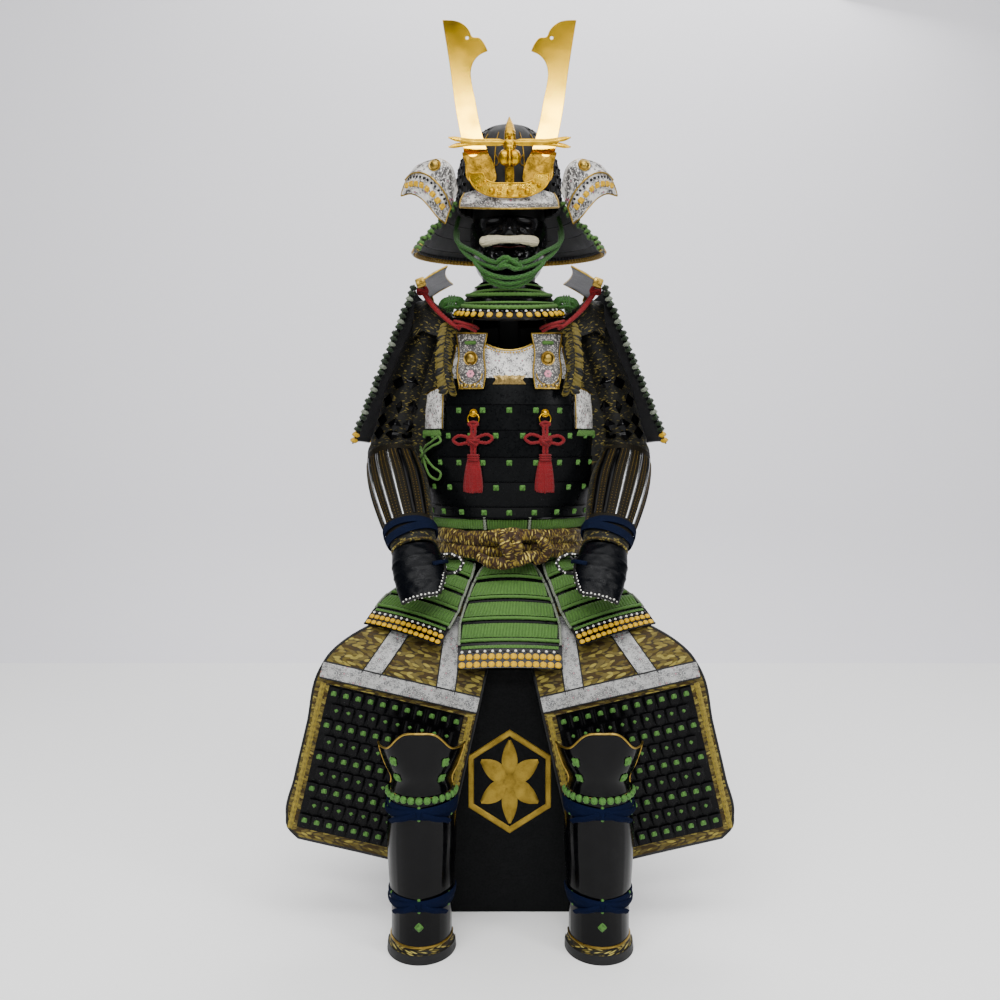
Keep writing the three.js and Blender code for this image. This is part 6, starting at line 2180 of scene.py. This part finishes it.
sleeve = {
    "rows": [
        (160, 5, 1100, 36, 50), (205, 8, 985, 40, 55), (226, 7, 895, 45.5, 54), (234, -8, 838, 51, 48),
        (213, -70, 772, 57, 41), (176, -180, 668, 41, 29)
    ],
    # soft creases: bearing, station, how steep, length round the arm, width and depth
    "creases": [
        (0, 3.05, 0.006, 70, 0.07, 3.4), (20, 3.3, -0.005, 60, 0.06, 2.8), (-30, 2.85, 0.008, 50, 0.08, 3.0),
        (40, 2.7, -0.007, 60, 0.08, 2.4), (-60, 3.2, 0.004, 50, 0.07, 2.6), (-10, 2.45, 0.006, 45, 0.07, 1.8),
        (90, 2.9, 0.005, 50, 0.07, 2.2), (180, 2.2, 0.004, 70, 0.09, 2.2), (200, 3.1, -0.004, 60, 0.07, 2.6),
        (150, 1.3, 0.005, 60, 0.1, 2.0), (-40, 1.5, -0.006, 50, 0.09, 1.8), (60, 1.1, 0.006, 60, 0.1, 1.6),
        (250, 1.8, 0.005, 50, 0.09, 2.0), (230, 0.8, -0.005, 60, 0.1, 1.6), (0, 0.7, 0.004, 60, 0.1, 1.5),
    ],
    "guard": (-54, 126), "splints": 7, "plates": [(0.95, -6), (1.42, 0), (1.9, 2), (2.35, 0)], "plateSize": 10,
}


def pathRings(rows):
    # centre, right and front of a bent tube at each station, read smoothly between stations
    rows = np.array(rows, float)
    place = np.arange(len(rows))
    spot = rows[:, :3]
    along = unit(np.concatenate([spot[:1], spot[:-1]]) - np.concatenate([spot[1:], spot[-1:]]))
    right = unit(arr(1, 0, 0) - along * along[:, :1])
    front = np.cross(right, along)
    return [curveThrough(place, part) for part in (spot, right, front, rows[:, 3], rows[:, 4])]


def tubeFace(rings, u, v, out=0.0):
    spot, right, front, wide, deep = (ring(v) for ring in rings)
    turn = np.radians(u)
    across, ahead = (wide + out) * np.sin(turn), (deep + out) * np.cos(turn)
    return spot + right * across[..., None] + front * ahead[..., None]


sleeveRings = pathRings(sleeve["rows"])


def sleeveFace(u, v, out=0.0):
    u, v, out = np.broadcast_arrays(np.asarray(u, float), np.asarray(v, float), np.asarray(out, float))
    fold = 0 * u
    for b, at, lean, length, width, depth in sleeve["creases"]:
        du = (u - b + 180) % 360 - 180
        near = np.exp(-((du / length) ** 2))
        gap = (v - at - lean * du) / width
        fold = fold + depth * near * (np.exp(-(gap**2)) - 0.7 * np.exp(-((gap - 1.6) ** 2)))
    du = (u + 180) % 360 - 180
    guarded = np.clip((v - 2.9) * 6, 0, 1) * np.clip((du + 62) / 8, 0, 1) * np.clip((134 - du) / 8, 0, 1)
    fold = fold * (1 - guarded) * np.clip(v / 0.3, 0, 1) * np.clip((5 - v) / 0.3, 0, 1)
    return tubeFace(sleeveRings, u, v, out + np.clip(fold, -3.0, 4.0))


def makeSleeves():
    us, vs = np.arange(0, 360, 6.0), np.linspace(5, 0, 81)
    U, V = grid(us, vs)
    cloth = Form()
    at = sleeveFace(U, V)
    cloth.sheet(at, ring=True, back=sleeveFace(U, V, -2.0))
    left, right = cloth.pair("sleeve", "darkBrocade", ["sleeve_upper", "sleeve_forearm"], merge=True)

    plates, hems, pyramid = forms(3)
    s, t = grid(np.linspace(-1, 1, 9), np.linspace(-1, 1, 9))
    rise = 0.42 * (1 - np.maximum(np.abs(s), np.abs(t))) + 0.03
    pyramid.sheet(xyz((s - t) * diagonal, (s + t) * diagonal, rise))
    for v, b in sleeve["plates"]:
        for k, turn in enumerate((-34, 0, 36) if v > 1.0 else (-10, 26)):
            face = lambda u, w: sleeveFace(u, 5 - w, 1.5)
            at, right_, up = rowOn(face, [b + turn], 5 - v - 0.08 * (k % 2), 0.5)
            plates.scatter(pyramid.template(), at, right_, up, sleeve["plateSize"])
    plates.pair("sleevePlates", "lacquer")

    steel, black, mail = forms(3)
    a, b = sleeve["guard"]
    U, V = grid(np.linspace(a, b, 45), np.linspace(4.84, 3.0, 22))
    mail.sheet(sleeveFace(U, V, 1.4), back=sleeveFace(U, V, 0.6))
    mail.pair("forearmMail", "mail", "forearm_guard")
    width = (b - a) / sleeve["splints"]
    for k in range(sleeve["splints"]):
        middle = a + (k + 0.5) * width
        ends = (4.62, 3.10 + 0.10 * math.cos(math.radians(middle - 36)))
        steely = k in (2, 3, 4)
        span, high = (0.13, 4.0) if steely else (0.2, 3.2)
        s, V = grid(np.linspace(-1, 1, 9), np.linspace(*ends, 26))
        tipped = np.clip((V - ends[1]) * 12 + 0.35, 0, 1) * np.clip((ends[0] - V) * 12 + 0.35, 0, 1)
        lift = 1.6 + (high - 1.6) * (1 - np.abs(s) ** 2.5) * tipped**0.5
        at = sleeveFace(middle + s * width * span * (0.6 + 0.4 * tipped), V, lift)
        (steel if steely else black).sheet(at, thick=1.2)
    gold = Form()
    for k in range(sleeve["splints"]):
        for shift in (-0.36, 0.36):
            vs = np.arange(3.2, 4.62, 0.044)
            spots, right, up = rowOn(lambda v, u: sleeveFace(u, v, 2.0), vs, a + (k + 0.5 + shift) * width)
            gold.scatter(beadForm(0.7, 5, 2), spots, right, up, 1.0)
    gold.pair("forearmBeads", "goldBead")
    steel.pair("forearmSplints", "steel")
    black.pair("forearmDarkSplints", "lacquer")
    band = Form()
    for at0, tall, lean in ((4.80, 0.05, 0.0008), (4.74, 0.045, -0.0007)):
        U, V = grid(np.arange(0, 360, 6.0), np.linspace(at0 + tall, at0 - tall, 9))
        V = V + lean * 60 * np.sin(np.radians(U + 40))
        wave = 0.5 * np.abs(np.sin((V - at0) / tall * 6.0))
        band.sheet(
            tubeFace(sleeveRings, U, np.clip(V, 0, 5), 5.0 + wave + 0.8 * np.cos((V - at0) / tall * 1.5)),
            thick=2.5, ring=True
        )
    band.pair("wristBand", "navy")
    for v, out, size in ((0.03, 0.3, 2.4), (4.98, 0.6, 2.2)):
        hems.tube(
            tubeFace(sleeveRings, np.arange(0, 360, 5.0), 0 * np.arange(0, 360, 5.0) + v, out), size, 8,
            closed=True
        )
    hems.pair("sleeveHem", "olive")


hand = {
    "rows": [
        (174, -187, 664, 44, 27), (168, -212, 643, 47, 27), (160, -236, 616, 46, 26), (152, -256, 586, 42, 23)
    ],
    "reach": [(-86, 94), (-92, 92), (-70, 86), (-40, 80)], "ridges": [0.9, 1.55, 2.2],
}
handRings = pathRings(hand["rows"])
handFrom = curveThrough(range(4), [a for a, _ in hand["reach"]])
handTo = curveThrough(range(4), [b for _, b in hand["reach"]])


def handFace(s, v, out=0.0):
    s, v, out = np.broadcast_arrays(np.asarray(s, float), np.asarray(v, float), np.asarray(out, float))
    return tubeFace(handRings, handFrom(v) + (handTo(v) - handFrom(v)) * s, v, out)


def makeHandGuards():
    S, V = grid(np.linspace(0, 1, 41), np.linspace(3, 0, 37))
    relief = 0 * S
    for ridge in hand["ridges"]:
        relief = relief + 1.3 * np.exp(-(((V - ridge - 0.25 * (S - 0.5) ** 2) / 0.07) ** 2))
    relief = relief + 1.6 * np.exp(-(((S - 0.52) / 0.16) ** 2) - (((V - 0.45) / 0.3) ** 2))
    relief = relief + 0.8 * np.sin(S * 26) * np.sin(V * 9) * np.exp(-(((S - 0.5) / 0.2) ** 2))
    form = Form()
    form.sheet(handFace(S, V, relief), back=handFace(S, V, -2.0))
    form.pair("handGuard", "handLacquer", "hand_guard")
    edge, dots = forms(2)
    low = handFace(np.linspace(0.03, 0.9, 24), 0 * np.linspace(0, 1, 24) + 3)
    inner = handFace(0 * np.linspace(0.5, 2.95, 24), np.linspace(0.5, 2.95, 24))
    for line in (low, inner):
        path = lineThrough(line, int(lineLength(line) / 2.2))
        edge.tube(path, 3.6, 10, shape=twisted(2, 12, 0.12))
        step = path[1:] - path[:-1]
        for k in range(1, len(path) - 1, 3):
            for lift in (-1, 1):
                out = unit(np.cross(step[k], arr(0.3, 1, 0.2)))
                spot = path[k] + out * 3.1 * lift * (1 if k % 2 else 0.6) - arr(0, 1.6, 0)
                dots.scatter(beadForm(0.6, 8, 4), [spot], [step[k]], [out], 1.9)
    # the loop for the thumb and its cord
    thumb = [tuple(handFace(0.0, v, 2 + out) + arr(dx, -6, dz)) for v, out, dx, dz in (
        (0.4, 1, 2, 0), (0.7, 10, -8, 6), (1.0, 14, -20, 0), (1.4, 8, -16, -8), (1.9, 1, 0, 0)
    )]
    edge.tube(lineThrough(thumb, 40), 3.4, 10, shape=twisted(2, 12, 0.12))
    path = lineThrough(thumb, 40)
    for k in range(2, 38, 3):
        dots.scatter(
            beadForm(0.6, 8, 4), [path[k] + arr(1.5 * (k % 2 - 0.5) * 2, -3.2, 0.5)], [[1, 0, 0]], [[0, 0, 1]],
            1.9
        )
    edge.pair("handEdging", "blackLeather")
    dots.pair("handStitches", "whiteBead")
    tie = Form()
    line = [handFace(s, v, o) for s, v, o in ((0.3, 1.5, 3), (0.14, 1.3, 5), (0.0, 1.0, 8))]
    tie.tube(lineThrough(line, 20), 4.2, 10, shape=braided(5, 0.12), flat=0.5, up=(0, -1, 0.2))
    tie.pair("handTie", "navy")


ties = {
    # leafy brocade ties hanging between sleeve and chest: centre line and half width
    "hang": [(118, -88, 1098), (124, -100, 1060), (126, -108, 1020), (122, -112, 985), (116, -112, 962)],
}


def makeSideBrocade():
    # fish-bone leaves of gold thread on the padded edge beside the chest
    leaf, shade, core = forms(3)
    line = lineThrough(ties["hang"], 60)
    blade = Form()
    s, t = grid(np.linspace(0, 1, 9), np.linspace(-1, 1, 5))
    half = 0.26 * np.sin(np.clip(s, 0.03, 0.97) * math.pi) ** 0.6
    blade.sheet(xyz(s, half * t - 0.12 * s * (1 - s), 0.10 * (1 - t**2) + 0.10 * np.sin(s * math.pi)))
    core.tube(
        line, np.interp(np.linspace(0, 1, 60), [0, 0.1, 0.9, 1], [7, 15, 16, 9]), 16, flat=0.4, up=(0, 1, 0)
    )
    for k in range(len(line) - 2):
        for side in (-1, 1):
            size = 17 + 3 * rng.uniform(-1, 1)
            lean = 0.55 + 0.2 * rng.uniform(-1, 1)
            right_ = arr(side * 0.8, -0.12 + 0.1 * rng.uniform(-1, 1), -lean)
            at = line[k + 1] + arr(side * 1.0, -6.0 + rng.uniform(-0.8, 0.8), 4)
            up = arr(lean, 0, side * 0.8) * side
            (shade if (k + side) % 3 == 0 else leaf).scatter(blade.template(), [at], [right_], [up], size)
    core.pair("sideBrocadeCore", "darkBrocade")
    leaf.pair("sideBrocadeLeaves", "goldThread")
    shade.pair("sideBrocadeShade", "darkBrocade")


makeShoulderGuards()
makeSleeves()
makeHandGuards()
makeSideBrocade()
print("arms are made")

# thigh guards

thigh = {
    "inner": (61, 400), "lean": 13, "thick": 2.5, "low": -300, "high": 150, "side": -6,
    "fall": [
        (-300, -258, 255), (-290, -258, 272), (-265, -258, 284),
        (-200, -257, 285), (-100, -255, 285), (0, -250, 285),
        (30, -241, 274), (60, -225, 250), (90, -206, 214), (106, -196, 192), (128, -170, 156), (150, -142, 112),
    ],
    "field": (16, 262, -280, -22), "columns": 11, "rows": 9,
    "bands": {"level": (-14, 14), "upright": [(58, 17), (196, 17)], "uprightLow": 8, "uprightHigh": 132},
}
thighY, thighAcross = columns(thigh["fall"], "y", "across")


def thighFace(across, up, out=0.0):
    lean = math.radians(thigh["lean"])
    across, up = np.broadcast_arrays(np.asarray(across, float), np.asarray(up, float))
    x = thigh["inner"][0] + across * math.cos(lean) - up * math.sin(lean)
    z = thigh["inner"][1] + across * math.sin(lean) + up * math.cos(lean)
    wave = 1.6 * np.sin(across * 0.045 + up * 0.01) * np.sin(up * 0.03 + 1) * np.clip((up + 10) / 40, 0, 1)
    sag = 1.0 * np.sin(across * 0.03 + 0.5) * np.clip((-up) / 60, 0, 1)
    return xyz(x, thighY(up) - out - wave - 0.5 * sag, z)


def makeThighs():
    cloth, scales, square, small, tapes, piping, border = forms(7)
    U, V = grid(
        np.linspace(0, 1, 57),
        np.concatenate([np.linspace(thigh["low"], -290, 4), np.linspace(-280, thigh["high"], 66)])
    )
    across = thigh["side"] + (thighAcross(V) - thigh["side"]) * U
    at = thighFace(across, V)
    places = np.stack([across, V], -1)
    cloth.sheet(at, thick=thigh["thick"], places=places)
    left, right = cloth.pair("thighCloth", "olive", "thigh_cloth")
    # leather scales sewn in rows, each with a rounded top and a raised middle
    a, b, low, high = thigh["field"]
    n = thigh["columns"]
    wide = (b - a) / n
    rows = thigh["rows"]
    tall = (high - low) / rows
    tile = Form()
    s, t = grid(np.linspace(-1, 1, 9), np.linspace(-1, 1, 9))
    rise = 0.28 * np.sqrt(np.clip(1 - np.abs(s) ** 2.6, 0, 1)) + 0.10 * np.clip(t, -1, 1)
    tile.sheet(xyz(s * 0.97, t * 1.12 - 0.14 * s**2, rise))
    ground = thighFace(*grid(np.linspace(a, b, 31), np.linspace(low, high, 31)), 3.6)
    scales.sheet(ground, thick=2.6)
    cells = [
        (a + (i + 0.5 + 0.5 * (k % 2)) * wide, low + (k + 0.5) * tall, k) for k in range(rows)
        for i in range(n - k % 2)
    ]
    tops = [[], []]
    for x, up, k in cells:
        spot = thighFace(np.array([x]), np.array([up]), 3.9)
        right_ = thighFace(np.array([x + 1]), np.array([up])) - thighFace(np.array([x - 1]), np.array([up]))
        rise_ = thighFace(np.array([x]), np.array([up + 1])) - thighFace(np.array([x]), np.array([up - 1]))
        scales.scatter(tile.template(), spot, right_, rise_ + arr(0, -0.12, 0), wide * 0.5)
        tops[k % 2].append((thighFace(x, up + 2, 7.0), right_[0], rise_[0]))
    for form, rows_, template, size in (
        (square, tops[0], pillowForm(1.0, 0.55, 0.2), 5.0), (small, tops[1], pillowForm(1.0, 0.6), 3.3)
    ):
        at, right_, up_ = (np.array([r[i] for r in rows_]) for i in range(3))
        if form is small:
            right_, up_ = unit(right_) + unit(up_), unit(up_) - unit(right_)
        form.scatter(template, at, right_, up_, size)
    scales.pair("thighScales", "scaleLeather", "thigh_scales")
    square.pair("thighKnots", "leaf")
    small.pair("thighSmallKnots", "leaf")
    # silver printed tapes: one along the fold and two running up to the waist
    l0, l1 = thigh["bands"]["level"]
    edge = float(thighAcross(0))
    tapes.sheet(thighFace(*grid(np.linspace(-4, edge - 2, 60), np.linspace(l0, l1, 6)), 2.4), thick=1.6)
    for middle, half in thigh["bands"]["upright"]:
        ups = np.linspace(thigh["bands"]["uprightLow"], thigh["bands"]["uprightHigh"], 30)
        X, Z = grid(np.linspace(-half, half, 7), ups)
        shift = middle + (Z - 8) * (0.10 if middle < 100 else -0.42)
        tapes.sheet(thighFace(shift + X, Z, 1.7), thick=1.2)
        for e in (-half, half):
            piping.tube(thighFace(middle + (ups - 8) * (0.10 if middle < 100 else -0.42) + e, ups, 1.7), 1.1, 6)
    for v in (l0, l1):
        piping.tube(thighFace(np.linspace(-4, edge - 2, 60), 0 * np.linspace(0, 1, 60) + v, 2.2), 1.4, 8)
    tapes.pair("thighTapes", "tape")
    side, low, high = thigh["side"], thigh["low"], thigh["high"]
    share, flatRow = np.linspace(0, 1, 30), np.full(30, low)
    ring = np.concatenate([
        thighFace(side + (thighAcross(flatRow) - side) * share, flatRow),
        thighFace(thighAcross(np.linspace(low + 4, high, 80)), np.linspace(low + 4, high, 80)),
        thighFace(np.linspace(112, side, 14), np.full(14, high)),
        thighFace(np.full(60, side), np.linspace(high - 4, low + 4, 60)),
    ])
    piping.tube(ring + arr(0, 1.2, 0), 2.6, 10, closed=True)
    piping.pair("thighPiping", "blackLeather")
    # gold leaf braid beside the scales
    for x in (4, 274):
        ups = np.linspace(-286, -22, 60)
        border.tube(
            lineThrough(thighFace(x + 0 * ups, ups, 1.0), 130), 5.4, 12, shape=braided(9, 0.3), flat=0.42,
            up=(0, -1, 0)
        )
    border.pair("thighBorder", "goldThread")


# shin guards

leg = {"x": 153, "y": -310}
shin = {
    "rows": [(24.5, 52, 62, 98), (70, 52, 61, 100), (130, 57, 64, 102), (200, 60, 66, 102), (274, 57, 62, 98)],
    "knee": [(278, 54, 62), (294, 52, 61), (316, 62, 68), (338, 70, 72), (356, 75, 72)],
    "low": 24.5, "high": 274, "kneeLow": 278, "kneeReach": 84,
    "knots": [(-39, 334), (38, 336), (-40, 306), (39, 307)], "rowKnots": 15,
    "ties": [(250, 9.5), (96, 9.5)], "lowKnot": (0, 60),
}
shinWide, shinDeep, shinEnd = columns(shin["rows"], "wide", "deep", "end")
kneeWide, kneeDeep = columns(shin["knee"], "wide", "deep")


def shinFace(u, z, out=0.0):
    return around(shinWide(z) + out, shinDeep(z) + out, u, z, leg["y"]) + arr(leg["x"], 0, 0)


def kneeFace(u, z, out=0.0):
    return around(kneeWide(z) + out, kneeDeep(z) + out, u, z, leg["y"]) + arr(leg["x"], 0, 0)


def kneeTop(u):
    return 354 + 32 * np.exp(-((u / 36) ** 4))


def makeShins():
    shell, rim, knots, low = forms(4)
    U, V = grid(np.linspace(-1, 1, 81), np.linspace(shin["low"], shin["high"], 22))
    turn = U * shinEnd(V)
    ridge = 0.9 * np.exp(-((turn / 5) ** 2))
    for away in (40, 72):
        ridge = ridge + 0.35 * np.exp(-(((np.abs(turn) - away) / 3) ** 2))
    shell.sheet(shinFace(turn, V, ridge), thick=2)
    shell.pair("shinShell", "lacquer", "shin_shell")
    us = np.linspace(-98, 98, 60)
    rim.tube(lineThrough(shinFace(us, 26 + 0 * us, 0.5), 100), 1.9, 8)
    knee = Form()
    u = np.linspace(-shin["kneeReach"], shin["kneeReach"], 57)
    U, T = grid(u, np.linspace(0, 1, 15))
    Z = shin["kneeLow"] + (kneeTop(U) - shin["kneeLow"]) * T
    knee.sheet(kneeFace(U, np.clip(Z, shin["kneeLow"], 386), 0.6), thick=2)
    knee.pair("kneePlate", "lacquer", "knee_plate")
    face = lambda a, z: kneeFace(a, z, 0.6)
    edge = np.concatenate([
        kneeFace(u[0] + 0 * u[:12], np.linspace(284, 352, 12), 0.6), kneeFace(u, kneeTop(u), 0.6),
        kneeFace(u[-1] + 0 * u[:12], np.linspace(352, 284, 12), 0.6)
    ])
    rim.tube(lineThrough(edge, 120), 1.8, 8)
    rim.pair("shinRims", "brass")
    for b, z in shin["knots"]:
        at, right, up = rowOn(face, [b], z, 0.4)
        knots.scatter(pillowForm(1.0, 0.5, 0.0), at, right, up, 7.0)
        knots.scatter(crossKnotForm(1.25, 0.55, 0.75), at, right, up, 7.0)
    at, right, up = rowOn(shinFace, evenPlaces(shinFace, -96, 96, 272, shin["rowKnots"]), 271, 1.2)
    knots.scatter(beadForm(0.8, 12, 5), at, right, up, 6.6)
    b, z = shin["lowKnot"]
    at, right, up = rowOn(shinFace, [b], z, 1.2)
    knots.scatter(pillowForm(1.0, 0.6), at, unit(right) + unit(up), unit(up) - unit(right), 6.2)
    for level, _ in shin["ties"]:
        for b in (-60, 0, 60):
            for dz in (-10, 10):
                at, right, up = rowOn(shinFace, [b], level + dz, 1.0)
                knots.scatter(beadForm(0.9), at, right, up, 3.0)
    knots.pair("shinKnots", "leaf")
    tie = Form()
    for level, half in shin["ties"]:
        for k, (lean, lift) in enumerate(((6, 1.6), (-6, 3.8))):
            us = np.linspace(-100, 100, 49)
            T = np.linspace(-1, 1, 9)
            U, S = grid(us, T)
            z = level + lean * np.sin(np.radians(U * 0.9)) + half * S * (
                0.75 + 0.25 * np.cos(np.radians(U * 1.6 + 40 * k))
            )
            ribbed = 0.5 * np.abs(np.sin(S * 9.4))
            tie.sheet(shinFace(U, z, lift + ribbed + 1.2 * (1 - S**2)), thick=1.4)
        for side in (-1, 1):
            path = [
                shinFace(side * b, level + dz, o)
                for b, dz, o in ((4, 0, 5.5), (24, -8, 6), (44, -15, 5), (52, -20, 4))
            ]
            tie.tube(lineThrough(path, 24), 5.2, 12, shape=braided(7, 0.12), flat=0.4, up=(0, -1, 0))
    tie.pair("shinTies", "navyTie")
    lining = Form()
    U, V = grid(
        np.linspace(-1, 1, 97),
        np.array([0.0, 3, 8, 14, 18, 22, 25, 34, 60, 90, 120, 150, 180, 210, 240, shin["high"]])
    )
    zFor = np.clip(V, shin["low"], shin["high"])
    out = np.interp(V, [0, 6, 14, 22, 25], [5.5, 6.5, 4.5, 0.0, -2.4])
    lining.sheet(around(
        shinWide(zFor) + out, shinDeep(zFor) + out, U * shinEnd(zFor), V, leg["y"]
    ) + arr(leg["x"], 0, 0), thick=2.4)
    left, right = lining.pair("shinLining", "goldBrocade", "shin_lining")
    us = np.linspace(-98, 98, 61)
    hem = Form()
    U, V = grid(us, np.linspace(0.4, 15, 7))
    hem.sheet(around(
        shinWide(shin["low"]) + 7.5 - 0.10 * V, shinDeep(shin["low"]) + 7.5 - 0.10 * V, U, V, leg["y"]
    ) + arr(leg["x"], 0, 0), thick=1.2)
    hem.pair("shinHem", "blackLeather")


makeThighs()
makeShins()
print("legs are made")
